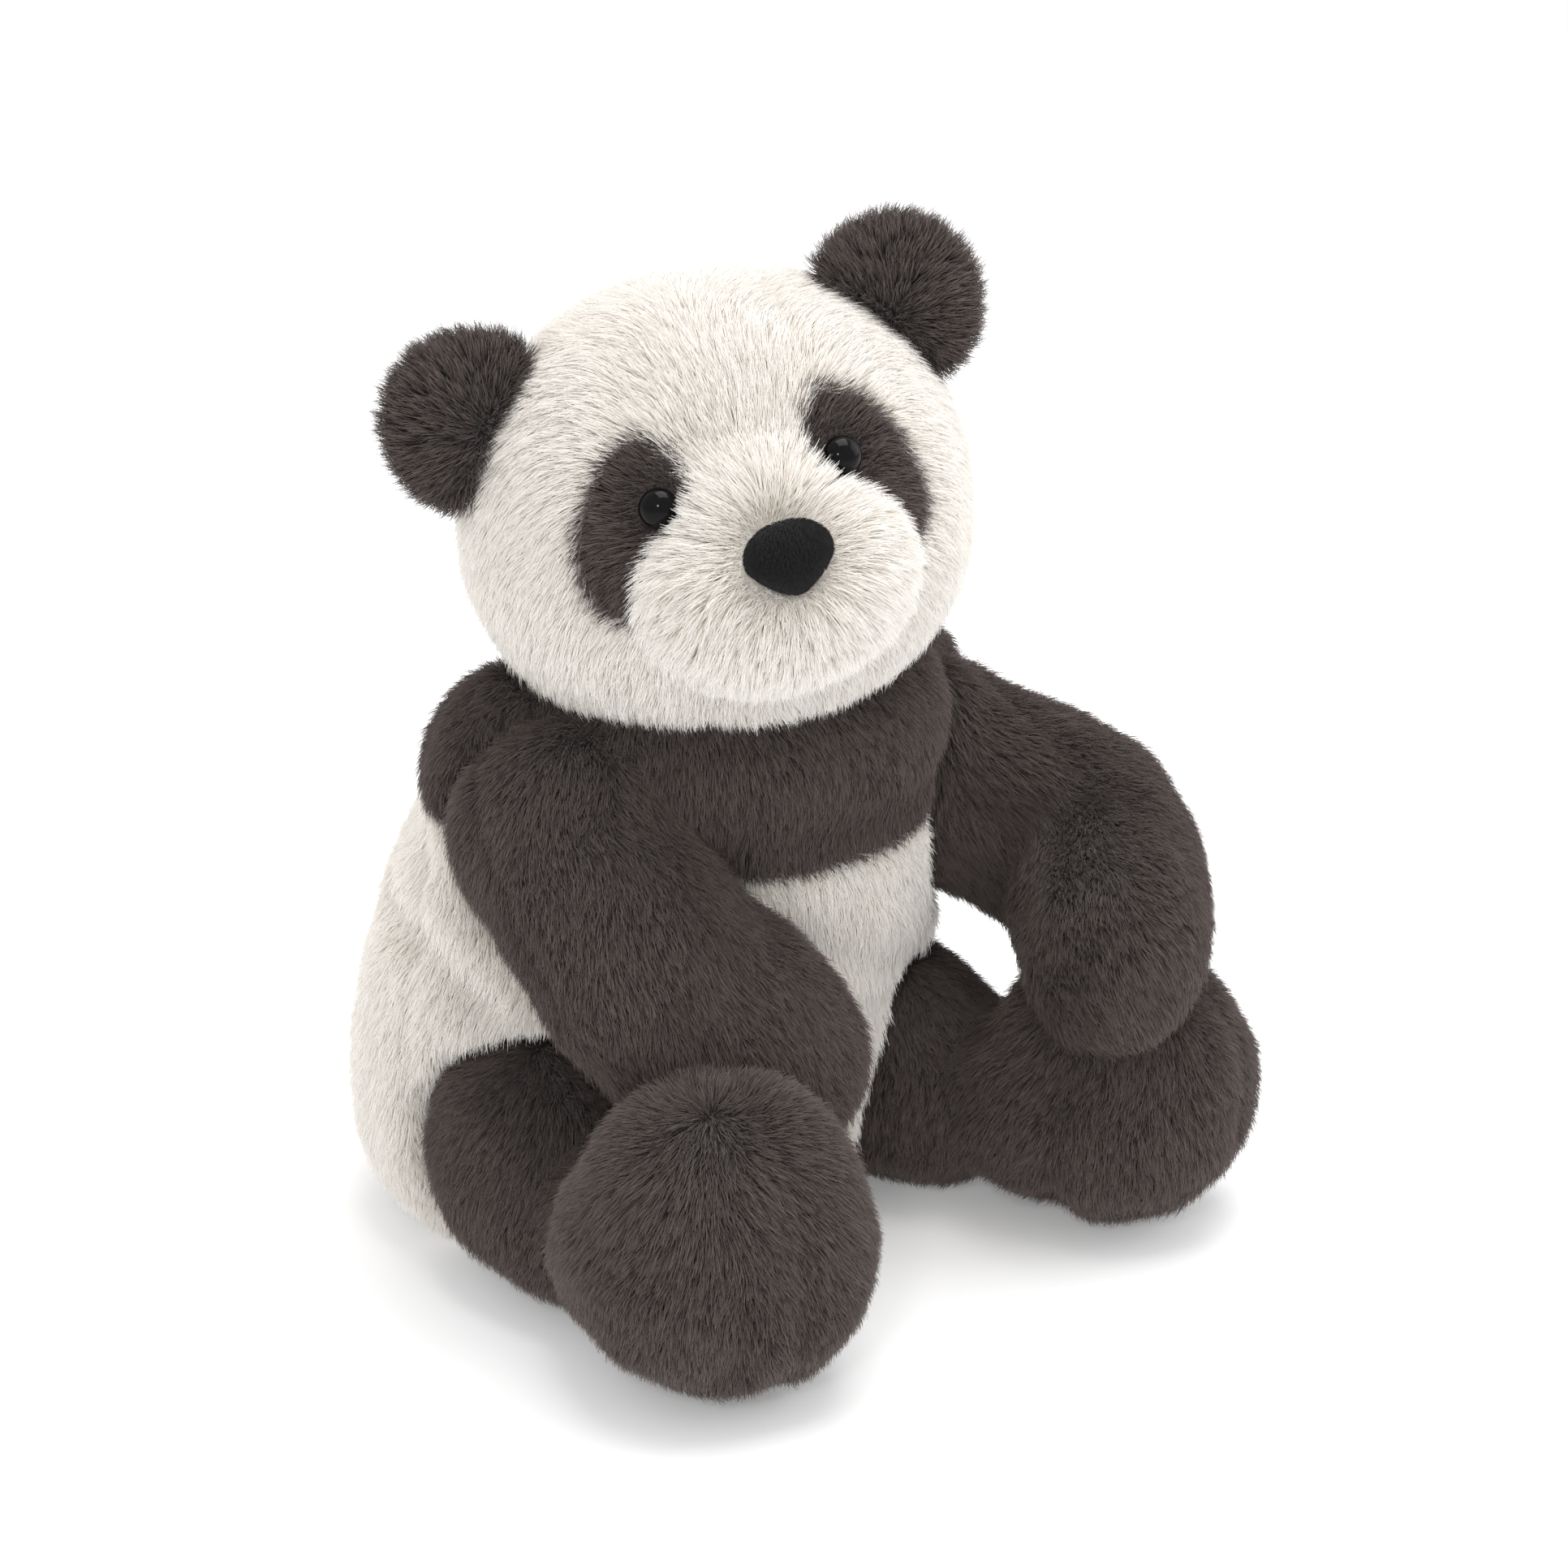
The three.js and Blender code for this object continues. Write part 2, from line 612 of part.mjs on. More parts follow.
// Head skins, in the head's own frame.
const muzzleCut = muzzleRegion(SEAM_GAP);
const patchCut = [patchRegion(-1, SEAM_GAP), patchRegion(1, SEAM_GAP)];
const eyes = [-1, 1].map((sign) => eyePlace(sign));
const shafts = (grow, from, to) => eyes.map((place) => eyeShaft(place, grow, from, to));
const neckRoom = transformed(neckPlug(JOINT_GAP, neck.nod), intoHead);
{
  const stemHoles = shafts(eye.stem / 2 + SEAM_GAP, -eye.stemLength - 4, 2);
  const noseBed = noseSolid(SEAM_GAP);
  const shell = without(headForm(0, 20), [headForm(PLUSH, 14), neckRoom, ...stemHoles, noseBed]);
  const snout = shell.intersect(muzzleRegion(0));
  addPiece(headGroup, 'muzzle', snout, whitePlush);
  const rest = shell.subtract(muzzleCut);
  const patches = [-1, 1].map((sign) => rest.intersect(patchRegion(sign, 0)));
  addPiece(headGroup, 'eye_patch_right', patches[0], darkPlush);
  addPiece(headGroup, 'eye_patch_left', patches[1], darkPlush);
  const white = without(rest, patchCut);
  const half = gusset.width / 2;
  const strip = halfSpace(vec(-half, 0, 0), vec(1, 0, 0))
    .intersect(halfSpace(vec(half, 0, 0), vec(-1, 0, 0)));
  const lowFront = (grow) => halfSpace(vec(0, gusset.nape + grow, 0), vec(0, -1, 0))
    .intersect(halfSpace(vec(0, 0, grow - muzzle.drop), vec(0, 0, -1)));
  const middle = white.intersect(strip);
  addPiece(headGroup, 'forehead_gusset', middle.subtract(lowFront(SEAM_GAP)), whitePlush);
  addPiece(headGroup, 'chin_gusset', middle.intersect(lowFront(0)), whitePlush);
  for (const [name, sign] of [['head_side_right', -1], ['head_side_left', 1]]) {
    const side = halfSpace(vec(sign * (half + SEAM_GAP), 0, 0), vec(sign, 0, 0));
    addPiece(headGroup, name, white.intersect(side), whitePlush);
  }
  addPiece(headGroup, 'nose', noseSolid(0), velvet);
}

// Safety eyes, each held by a washer behind the skin.
eyes.forEach((place, i) => {
  const name = ['right', 'left'][i];
  addPiece(headGroup, `eye_${name}`, eyeSolid(place), glossBlack);
  const behind = -PLUSH - eye.washerBack;
  const disc = eyeShaft(place, eye.washer / 2, behind - eye.washerThick, behind);
  const hole = eyeShaft(place, eye.stem / 2 + 0.1, behind - 9, behind + 9);
  addPiece(headGroup, `eye_washer_${name}`, disc.subtract(hole), clearPlastic);
});
{
  const buried = PLUSH + SEAM_GAP;
  const pockets = shafts(eye.washer / 2 + SEAM_GAP, -eye.stemLength - 3, 6);
  addPiece(headGroup, 'head_stuffing', without(headForm(buried, 14), [neckRoom, ...pockets]), fibre);
}

// Ears: a front and a back skin over a pad of wadding, standing on the head.
for (const [name, sign] of [['right', -1], ['left', 1]]) {
  const { matrix } = earFrame(sign);
  const back = new THREE.Matrix4().copy(matrix).invert();
  const clearOfHead = headHalf.clone().addScalar(JOINT_GAP + REST_GAP);
  const skull = transformed(ellipsoid(vec(0, 0, 0), clearOfHead, 18), back);
  const room = stations(skull, vec(0, 0, 0), vec(1, 0, 0), -ear.fold, ear.fold, 2);
  const skin = ear.skin;
  const seam = SEAM_GAP / 2;
  const frontHalf = halfSpace(vec(0, -seam, 0), vec(0, -1, 0));
  const backHalf = halfSpace(vec(0, seam, 0), vec(0, 1, 0));
  const shell = without(earForm(0), [earForm(skin), ...room]);
  const group = new THREE.Group();
  group.applyMatrix4(matrix);
  headGroup.add(group);
  addPiece(group, `ear_${name}_front`, shell.intersect(frontHalf), darkPlush);
  addPiece(group, `ear_${name}_back`, shell.intersect(backHalf), darkPlush);
  addPiece(group, `ear_${name}_wadding`, without(earForm(skin + SEAM_GAP), room), fibre);
}

// Limbs: two panels sewn round a stuffing core, open where the limb is sewn on.
function addLimb(name, form, cutters, seamNormal, seamPoint, sides) {
  const outer = without(form(0, FINE), cutters);
  const shell = outer.subtract(without(form(-PLUSH, FINE), sides.root));
  const root = sides.root;
  const gap = seamNormal.clone().multiplyScalar(SEAM_GAP / 2);
  const first = halfSpace(seamPoint.clone().add(gap), seamNormal);
  const second = halfSpace(seamPoint.clone().sub(gap), seamNormal.clone().negate());
  addPiece(toy, `${name}_${sides.first}`, shell.intersect(first), darkPlush);
  addPiece(toy, `${name}_${sides.second}`, shell.intersect(second), darkPlush);
  const core = without(form(-PLUSH - SEAM_GAP, FINE), root);
  addPiece(toy, `${name}_stuffing`, core, fibre);
}

for (const [name, hand] of [['arm_right', handR], ['arm_left', handL]]) {
  const along = hand.paw.clone().sub(hand.root);
  const seamNormal = new THREE.Vector3().crossVectors(along, hand.broad).normalize();
  addLimb(
    name, (grow, detail) => armSolid(hand, grow, detail), [],
    seamNormal, hand.elbow.clone().lerp(hand.root, 0.5), { first: 'front', second: 'back', root: [] },
  );
}
for (const [name, hip, foot, sign, hand, axis] of [
  ['leg_right', hipR, footR, -1, handR, liftR], ['leg_left', hipL, footL, 1, handL, liftL],
]) {
  const along = foot.clone().sub(hip);
  const outward = vec(sign * -along.y, sign * along.x, 0).normalize();
  addLimb(
    name, (grow, detail) => legSolid(hip, foot, grow, detail),
    handRoom(hand, axis, hip, sign * leg.splay, JOINT_GAP, FINE, 4),
    outward, hip, {
      first: 'outer', second: 'inner',
      root: handRoom(hand, axis, hip, sign * leg.splay, JOINT_GAP + PLUSH, COARSE, 2),
    },
  );
}

// The seams that the toy bends at, for whoever poses it.
const earAxis = (sign) => vec(1, 0, 0).transformDirection(earFrame(sign).matrix);
toy.userData.pivots = {
  head: headCentre, nodAxis: vec(1, 0, 0).transformDirection(headMatrix),
  handR: handR.root, handL: handL.root, liftR, liftL, hipR, hipL,
  ears: [-1, 1].map((sign) => earFrame(sign).foot.clone().applyMatrix4(headMatrix)),
  earAxes: [-1, 1].map((sign) => earAxis(sign).transformDirection(headMatrix)),
};

export default toy;
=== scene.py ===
"""A sitting plush panda: sewn plush skins with a real pile, safety eyes and a velvet nose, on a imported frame.

Metres, +Z up. The toy faces -Y, and its own left is +X. Every skin takes its shape from the frame's solids.
"""

import json
import math

import bmesh
import bpy
import numpy as np
from bpy.props import FloatProperty, FloatVectorProperty, PointerProperty
from mathutils import Matrix, Vector, kdtree, noise
from mathutils.bvhtree import BVHTree


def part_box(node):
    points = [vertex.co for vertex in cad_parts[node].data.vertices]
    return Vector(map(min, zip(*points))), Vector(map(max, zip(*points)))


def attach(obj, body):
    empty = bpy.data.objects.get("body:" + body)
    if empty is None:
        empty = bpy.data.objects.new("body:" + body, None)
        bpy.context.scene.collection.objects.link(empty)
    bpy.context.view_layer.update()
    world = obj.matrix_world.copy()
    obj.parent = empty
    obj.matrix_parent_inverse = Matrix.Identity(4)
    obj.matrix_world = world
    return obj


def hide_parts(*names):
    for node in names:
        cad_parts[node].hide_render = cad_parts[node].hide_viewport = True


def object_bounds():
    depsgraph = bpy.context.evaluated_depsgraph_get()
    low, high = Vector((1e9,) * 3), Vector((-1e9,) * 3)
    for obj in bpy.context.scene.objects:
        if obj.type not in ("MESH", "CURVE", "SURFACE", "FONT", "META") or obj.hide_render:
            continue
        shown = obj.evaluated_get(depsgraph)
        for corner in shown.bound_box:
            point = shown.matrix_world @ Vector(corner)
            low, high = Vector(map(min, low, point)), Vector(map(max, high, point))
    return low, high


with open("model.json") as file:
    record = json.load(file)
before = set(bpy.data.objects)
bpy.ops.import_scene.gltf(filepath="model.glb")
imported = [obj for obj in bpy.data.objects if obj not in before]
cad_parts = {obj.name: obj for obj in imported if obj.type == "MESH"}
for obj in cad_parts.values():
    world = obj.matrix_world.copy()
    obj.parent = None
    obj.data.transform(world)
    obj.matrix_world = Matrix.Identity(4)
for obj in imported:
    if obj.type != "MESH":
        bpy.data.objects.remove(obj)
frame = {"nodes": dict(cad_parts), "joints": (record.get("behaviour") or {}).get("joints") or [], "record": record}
CAD_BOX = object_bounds()

bl_info = {
    "name": "Plush Panda",
    "version": (1, 0, 0),
    "blender": (4, 5, 0),
    "location": "3D View > Sidebar > Panda",
    "description": "Builds the skins, pile, face and stage of a sitting plush panda round its packed frame",
    "category": "Add Mesh",
}

SIDES = ("right", "left")
DOWN = (0.0, 0.0, -1.0)

# ------------------------------------------------------------------------------ sizes and colours


class PlushSizes(bpy.types.PropertyGroup):
    """The plush cloth: how deep its pile is and how finely it is made"""

    voxel: FloatProperty(
        name="Weave of the form", description="Spacing of the points that each skin is built from",
        default=0.0026, min=0.0015, max=0.008, unit="LENGTH")
    under: FloatProperty(
        name="Backing depth", description="How far the backing cloth lies under the middle of the pile",
        default=0.0015, min=0.0, max=0.006, unit="LENGTH")
    backing: FloatProperty(
        name="Backing thickness", description="Thickness of the knitted backing cloth",
        default=0.0022, min=0.0005, max=0.005, unit="LENGTH")
    pile: FloatProperty(
        name="Pile length", description="Length of the ordinary pile",
        default=0.0058, min=0.001, max=0.02, unit="LENGTH")
    density: FloatProperty(
        name="Pile density", description="Fibres on a square metre of cloth",
        default=5400000.0, min=1000.0, max=9000000.0)
    fibre: FloatProperty(
        name="Fibre thickness", description="Radius of a bundle of fibres at its root",
        default=0.000095, min=0.00002, max=0.001, unit="LENGTH")
    seam: FloatProperty(
        name="Seam depth", description="How deep a sewn seam pulls in",
        default=0.0016, min=0.0, max=0.005, unit="LENGTH")


class FaceSizes(bpy.types.PropertyGroup):
    """The eyes and the nose"""

    eye: FloatProperty(
        name="Eye diameter", description="Diameter of a safety eye",
        default=0.0105, min=0.004, max=0.03, unit="LENGTH")
    eye_dome: FloatProperty(
        name="Eye dome", description="How far an eye's dome stands out from its rim",
        default=0.0044, min=0.001, max=0.02, unit="LENGTH")
    eye_out: FloatProperty(
        name="Eye stand-off", description="How far the rim of an eye stands off the backing cloth",
        default=0.0004, min=-0.004, max=0.01, unit="LENGTH")
    nose_tilt: FloatProperty(
        name="Nose tilt", description="Angle of the nose below the head's forward direction",
        default=math.radians(3.4), subtype="ANGLE")


class PlushColours(bpy.types.PropertyGroup):
    """The colours of the toy"""

    dark: FloatVectorProperty(
        name="Charcoal", description="Colour of the dark plush",
        subtype="COLOR", size=3, min=0, max=1, default=(0.027, 0.0215, 0.0202))
    dark_tip: FloatVectorProperty(
        name="Charcoal tips", description="Colour of the dark plush at the ends of its fibres",
        subtype="COLOR", size=3, min=0, max=1, default=(0.14, 0.111, 0.102))
    white: FloatVectorProperty(
        name="Cream", description="Colour of the white plush near its backing",
        subtype="COLOR", size=3, min=0, max=1, default=(0.93, 0.87, 0.79))
    white_tip: FloatVectorProperty(
        name="Cream tips", description="Colour of the white plush at the ends of its fibres",
        subtype="COLOR", size=3, min=0, max=1, default=(0.97, 0.95, 0.92))
    nose: FloatVectorProperty(
        name="Nose velvet", description="Colour of the nose's velvet",
        subtype="COLOR", size=3, min=0, max=1, default=(0.006, 0.0055, 0.0065))


class StageSizes(bpy.types.PropertyGroup):
    """The camera, the lights and the floor"""

    camera: FloatVectorProperty(
        name="Camera", description="Where the camera stands",
        subtype="TRANSLATION", size=3, default=(-0.6307, -0.8763, 0.4913))
    target: FloatVectorProperty(
        name="Target", description="What the camera looks at",
        subtype="TRANSLATION", size=3, default=(0.0562, 0.0029, 0.1072))
    lens: FloatProperty(
        name="Lens", description="Focal length of the camera in millimetres", default=92.1, min=20, max=300)
    floor: FloatProperty(
        name="Floor size", description="Width of the floor", default=12.0, min=1, max=100, unit="LENGTH")


# ------------------------------------------------------------------------------ the head's frame

JOINTS = {joint["name"]: joint for joint in frame["joints"]}
HEAD_CENTRE = Vector(JOINTS["head_nod"]["pos_m"])


def box_centre(node):
    """The middle of a frame node's box."""
    low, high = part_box(node)
    return (low + high) / 2


def head_axes(tilt):
    """The head's own right-to-left, front-to-back and upward directions."""
    side = Vector(JOINTS["head_nod"]["axis"]).normalized()
    to_nose = box_centre("nose") - HEAD_CENTRE
    forward = (to_nose - side * to_nose.dot(side)).normalized()
    forward = Matrix.Rotation(-tilt, 3, side) @ forward
    back = -forward
    return side, back, side.cross(back).normalized()


def head_matrix(tilt):
    """Places a shape made in the head's own frame."""
    side, back, up = head_axes(tilt)
    matrix = Matrix((side, back, up)).transposed().to_4x4()
    matrix.translation = HEAD_CENTRE
    return matrix


# ------------------------------------------------------------------------------ node tree helpers

# Where a mix node keeps its colour sockets.
MIX_SHARE, MIX_FIRST, MIX_SECOND, MIX_RESULT = 0, 6, 7, 2


def add_node(tree, kind, inputs=None, **settings):
    """A node with its settings and inputs, where an input may be a value or another node's output."""
    node = tree.nodes.new(kind)
    for key, value in settings.items():
        setattr(node, key, value)
    for key, value in (inputs or {}).items():
        if isinstance(value, bpy.types.NodeSocket):
            tree.links.new(value, node.inputs[key])
        else:
            node.inputs[key].default_value = value
    return node


def maths(tree, operation, a, b=0.0, c=0.0):
    """A math node's result."""
    kind = "ShaderNodeMath"
    return add_node(tree, kind, {0: a, 1: b, 2: c}, operation=operation).outputs[0]


def vectors(tree, operation, a, b=None, scale=None):
    """A vector math node's result."""
    inputs = {0: a}
    if b is not None:
        inputs[1] = b
    if scale is not None:
        inputs["Scale"] = scale
    node = add_node(tree, "ShaderNodeVectorMath", inputs, operation=operation)
    return node.outputs["Value" if operation in ("DOT_PRODUCT", "LENGTH", "DISTANCE") else "Vector"]


def blend(tree, share, first, second):
    """A mix of two colours, from the first at a share of 0 to the second at 1."""
    node = tree.nodes.new("ShaderNodeMix")
    node.data_type = "RGBA"
    for place, value in ((MIX_SHARE, share), (MIX_FIRST, first), (MIX_SECOND, second)):
        if isinstance(value, bpy.types.NodeSocket):
            tree.links.new(value, node.inputs[place])
        else:
            node.inputs[place].default_value = value
    return node.outputs[MIX_RESULT]


def sockets(tree, ins, outs):
    """Names a node group's inputs and outputs. Each is (name, kind) or (name, kind, default)."""
    for direction, rows in (("INPUT", ins), ("OUTPUT", outs)):
        for name, kind, *default in rows:
            socket = tree.interface.new_socket(name, in_out=direction, socket_type=f"NodeSocket{kind}")
            if default:
                socket.default_value = default[0]


# ------------------------------------------------------------------------------ shared effects


# How the colour of a fibre gathers towards its tip.
TIP_FALLOFF = 1.3


def pile_streak_group():
    """Shader group: streaks that run along the nap, for the colour and the relief of brushed pile; the low streaks
    take the darker root colour, partly the fibres' own tone and partly painted shade in the grooves.
    """
    tree = bpy.data.node_groups.new("Pile streaks", "ShaderNodeTree")
    sockets(
        tree,
        [("Root colour", "Color"), ("Tip colour", "Color"),
         ("Fineness", "Float", 900.0), ("Stretch", "Float", 0.85)],
        [("Colour", "Color"), ("Height", "Float")],
    )
    enter = tree.nodes.new("NodeGroupInput")
    leave = tree.nodes.new("NodeGroupOutput")
    place = add_node(tree, "ShaderNodeTexCoord").outputs["Object"]
    nap = add_node(tree, "ShaderNodeAttribute", attribute_name="nap").outputs["Vector"]
    run = vectors(tree, "DOT_PRODUCT", place, nap)
    run = maths(tree, "MULTIPLY", run, enter.outputs["Stretch"])
    along = vectors(tree, "SCALE", nap, scale=run)
    across = vectors(tree, "SUBTRACT", place, along)
    fine = add_node(tree, "ShaderNodeTexNoise", {
        "Vector": across, "Scale": enter.outputs["Fineness"], "Detail": 3.0, "Roughness": 0.6}).outputs["Fac"]
    tuft = add_node(tree, "ShaderNodeTexNoise", {
        "Vector": across, "Scale": maths(tree, "MULTIPLY", enter.outputs["Fineness"], 0.22),
        "Detail": 2.0, "Roughness": 0.55}).outputs["Fac"]
    both = maths(tree, "ADD", maths(tree, "MULTIPLY", fine, 0.6), maths(tree, "MULTIPLY", tuft, 0.4))
    level = add_node(tree, "ShaderNodeMapRange", {
        "Value": both, "From Min": 0.32, "From Max": 0.68,
    }, interpolation_type="SMOOTHSTEP").outputs["Result"]
    # Painted shade: where the streak relief is low, the colour goes to the darker root colour, and where it is
    # high, to the tip colour.
    colour = blend(tree, level, enter.outputs["Root colour"], enter.outputs["Tip colour"])
    tree.links.new(colour, leave.inputs["Colour"])
    tree.links.new(both, leave.inputs["Height"])
    return tree


def plain_material(name, roughness):
    """A material with a Principled shader, and that shader."""
    material = bpy.data.materials.new(name)
    material.use_nodes = True
    shader = material.node_tree.nodes["Principled BSDF"]
    shader.inputs["Roughness"].default_value = roughness
    return material, shader


def skin_material(name, streaks, root, tip):
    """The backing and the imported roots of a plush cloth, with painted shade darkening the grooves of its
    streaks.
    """
    material, shader = plain_material(name, 0.95)
    shader.inputs["Sheen Weight"].default_value = 0.25
    shader.inputs["Sheen Roughness"].default_value = 0.6
    tree = material.node_tree
    group = add_node(tree, "ShaderNodeGroup", node_tree=streaks)
    group.inputs["Root colour"].default_value = (*root, 1)
    group.inputs["Tip colour"].default_value = (*tip, 1)
    tree.links.new(group.outputs["Colour"], shader.inputs["Base Color"])
    bump = add_node(tree, "ShaderNodeBump", {
        "Strength": 0.8, "Distance": 0.0015, "Height": group.outputs["Height"]})
    tree.links.new(bump.outputs["Normal"], shader.inputs["Normal"])
    return material


def fibre_material(name, root, tip, spread):
    """The fibres of a pile, paler towards their tips and each a little different."""
    material, shader = plain_material(name, 0.85)
    shader.inputs["Specular IOR Level"].default_value = 0.25
    shader.inputs["Sheen Weight"].default_value = 0.15
    shader.inputs["Sheen Roughness"].default_value = 0.5
    tree = material.node_tree
    run = add_node(tree, "ShaderNodeAttribute", attribute_name="run").outputs["Fac"]
    tone = add_node(tree, "ShaderNodeAttribute", attribute_name="tone").outputs["Fac"]
    colour = blend(tree, maths(tree, "POWER", run, TIP_FALLOFF), (*root, 1), (*tip, 1))
    vary = maths(tree, "ADD", maths(tree, "MULTIPLY", tone, 2 * spread), 1 - spread)
    hue = add_node(tree, "ShaderNodeHueSaturation", {"Color": colour, "Value": vary})
    tree.links.new(hue.outputs["Color"], shader.inputs["Base Color"])
    return material


def woven_material(name, colour, scale, roughness=0.9):
    """A plain woven or matted cloth."""
    material, shader = plain_material(name, roughness)
    tree = material.node_tree
    place = add_node(tree, "ShaderNodeTexCoord").outputs["Object"]
    grain = add_node(tree, "ShaderNodeTexNoise", {
        "Vector": place, "Scale": scale, "Detail": 4.0}).outputs["Fac"]
    ramp = add_node(tree, "ShaderNodeValToRGB", {"Fac": grain})
    ramp.color_ramp.elements[0].color = (*[c * 0.75 for c in colour], 1)
    ramp.color_ramp.elements[1].color = (*colour, 1)
    tree.links.new(ramp.outputs["Color"], shader.inputs["Base Color"])
    bump = add_node(tree, "ShaderNodeBump", {"Strength": 0.5, "Distance": 0.0006, "Height": grain})
    tree.links.new(bump.outputs["Normal"], shader.inputs["Normal"])
    return material


# ------------------------------------------------------------------------------ the pile on a skin


def pile_group():
    """Geometry group: fibres on a skin, which lean along its nap and gather in tufts."""
    tree = bpy.data.node_groups.new("Plush pile", "GeometryNodeTree")
    sockets(
        tree,
        [("Skin", "Object"), ("Density", "Float", 1e6), ("Length", "Float", 0.006), ("Lean", "Float", 0.9),
         ("Tuft size", "Float", 0.004), ("Tuft", "Float", 0.5), ("Frizz", "Float", 0.0012),
         ("Radius", "Float", 0.0002), ("Points", "Int", 6), ("Seed", "Int", 0), ("Fibre", "Material")],
        [("Geometry", "Geometry")],
    )
    enter = tree.nodes.new("NodeGroupInput")
    leave = tree.nodes.new("NodeGroupOutput")
    given = enter.outputs
    cloth = add_node(tree, "GeometryNodeObjectInfo", {"Object": given["Skin"]},
                     transform_space="RELATIVE").outputs["Geometry"]

    def named(name, kind):
        node = add_node(tree, "GeometryNodeInputNamedAttribute", {"Name": name}, data_type=kind)
        return node.outputs["Attribute"]

    def product(*factors):
        result = factors[0]
        for factor in factors[1:]:
            result = maths(tree, "MULTIPLY", result, factor)
        return result

    def across_skin(way):
        """A direction without its part along the skin's normal."""
        out = named("out", "FLOAT_VECTOR")
        depth = vectors(tree, "DOT_PRODUCT", way, out)
        return vectors(tree, "SUBTRACT", way, vectors(tree, "SCALE", out, scale=depth))

    def store(geometry, name, kind, value, domain="POINT"):
        node = add_node(tree, "GeometryNodeStoreNamedAttribute", {"Geometry": geometry, "Name": name},
                        data_type=kind, domain=domain)
        tree.links.new(value, node.inputs["Value"])
        return node.outputs["Geometry"]

    covered = maths(tree, "MINIMUM", product(named("pile", "FLOAT"), 8.0), 1.0)
    scatter = add_node(tree, "GeometryNodeDistributePointsOnFaces", {
        "Mesh": cloth, "Seed": given["Seed"], "Density": product(given["Density"], covered),
    }, distribute_method="RANDOM")
    points = store(scatter.outputs["Points"], "out", "FLOAT_VECTOR", scatter.outputs["Normal"])
    place = add_node(tree, "GeometryNodeInputPosition").outputs[0]
    points = store(points, "root", "FLOAT_VECTOR", place)
    order = add_node(tree, "GeometryNodeInputIndex").outputs[0]
    points = store(points, "strand", "INT", order)
    chance = add_node(tree, "FunctionNodeRandomValue", {"Seed": given["Seed"]}, data_type="FLOAT").outputs[1]
    points = store(points, "tone", "FLOAT", chance)
    copies = add_node(tree, "GeometryNodeDuplicateElements", {
        "Geometry": points, "Amount": given["Points"]}, domain="POINT")
    step = maths(tree, "SUBTRACT", given["Points"], 1.0)
    run_value = maths(tree, "DIVIDE", copies.outputs["Duplicate Index"], step)
    strands = store(copies.outputs["Geometry"], "run", "FLOAT", run_value)

    run = named("run", "FLOAT")
    root = named("root", "FLOAT_VECTOR")
    out = named("out", "FLOAT_VECTOR")
    nap = named("nap", "FLOAT_VECTOR")
    tone = named("tone", "FLOAT")
    # Slow wander of the nap, so the pile doesn't lie in ruled lines.
    wander = add_node(tree, "ShaderNodeTexNoise", {"Vector": root, "Scale": 55.0, "Detail": 2.0},
                      noise_dimensions="3D").outputs["Color"]
    wander = vectors(tree, "SUBTRACT", wander, (0.5, 0.5, 0.5))
    wander = vectors(tree, "SCALE", wander, scale=1.5)
    nap = vectors(tree, "ADD", nap, wander)
    nap = across_skin(nap)
    length = product(given["Length"], named("pile", "FLOAT"), maths(tree, "ADD", product(tone, 0.45), 0.72))
    # A strand stands up from its root and bends over along the nap.
    rise = maths(tree, "SUBTRACT", run, product(run, run, 0.42))
    bend = maths(tree, "ADD", product(run, run, given["Lean"]), product(run, given["Lean"], 0.35))
    upright = vectors(tree, "SCALE", out, scale=product(rise, 0.92))
    shape = vectors(tree, "ADD", upright, vectors(tree, "SCALE", nap, scale=bend))
    shape = vectors(tree, "SCALE", shape, scale=length)
    # Tufts: each strand's end is drawn to the middle of its own cell.
    cell = add_node(tree, "ShaderNodeTexVoronoi", {
        "Vector": root, "Scale": maths(tree, "DIVIDE", 1.0, given["Tuft size"]), "Randomness": 1.0},
        feature="F1", voronoi_dimensions="3D").outputs["Position"]
    pull = across_skin(vectors(tree, "SUBTRACT", cell, root))
    hold = product(maths(tree, "POWER", run, 1.4), given["Tuft"], named("pile", "FLOAT"))
    shape = vectors(tree, "ADD", shape, vectors(tree, "SCALE", pull, scale=hold))
    # Frizz: each strand strays a little by itself.
    lost = add_node(tree, "FunctionNodeRandomValue", {
        "ID": named("strand", "INT"), "Seed": 7,
        0: (-1.0, -1.0, -1.0), 1: (1.0, 1.0, 1.0)}, data_type="FLOAT_VECTOR").outputs[0]
    stray = product(maths(tree, "POWER", run, 1.2), given["Frizz"])
    shape = vectors(tree, "ADD", shape, vectors(tree, "SCALE", lost, scale=stray))
    moved = add_node(tree, "GeometryNodeSetPosition", {
        "Geometry": strands, "Position": vectors(tree, "ADD", root, shape)})
    curves = add_node(tree, "GeometryNodePointsToCurves", {
        "Points": moved.outputs["Geometry"], "Curve Group ID": named("strand", "INT"), "Weight": run})
    taper = maths(tree, "SUBTRACT", 1.0, product(maths(tree, "POWER", run, 1.5), 0.75))
    thin = add_node(tree, "GeometryNodeSetCurveRadius", {
        "Curve": curves.outputs[0], "Radius": product(given["Radius"], taper)})
    dyed = add_node(tree, "GeometryNodeSetMaterial", {
        "Geometry": thin.outputs[0], "Material": given["Fibre"]})
    light = dyed.outputs["Geometry"]
    for spent in ("root", "out", "nap", "strand", "pile"):
        node = add_node(tree, "GeometryNodeRemoveAttribute", {"Geometry": light, "Name": spent})
        light = node.outputs["Geometry"]
    tree.links.new(light, leave.inputs[0])
    return tree


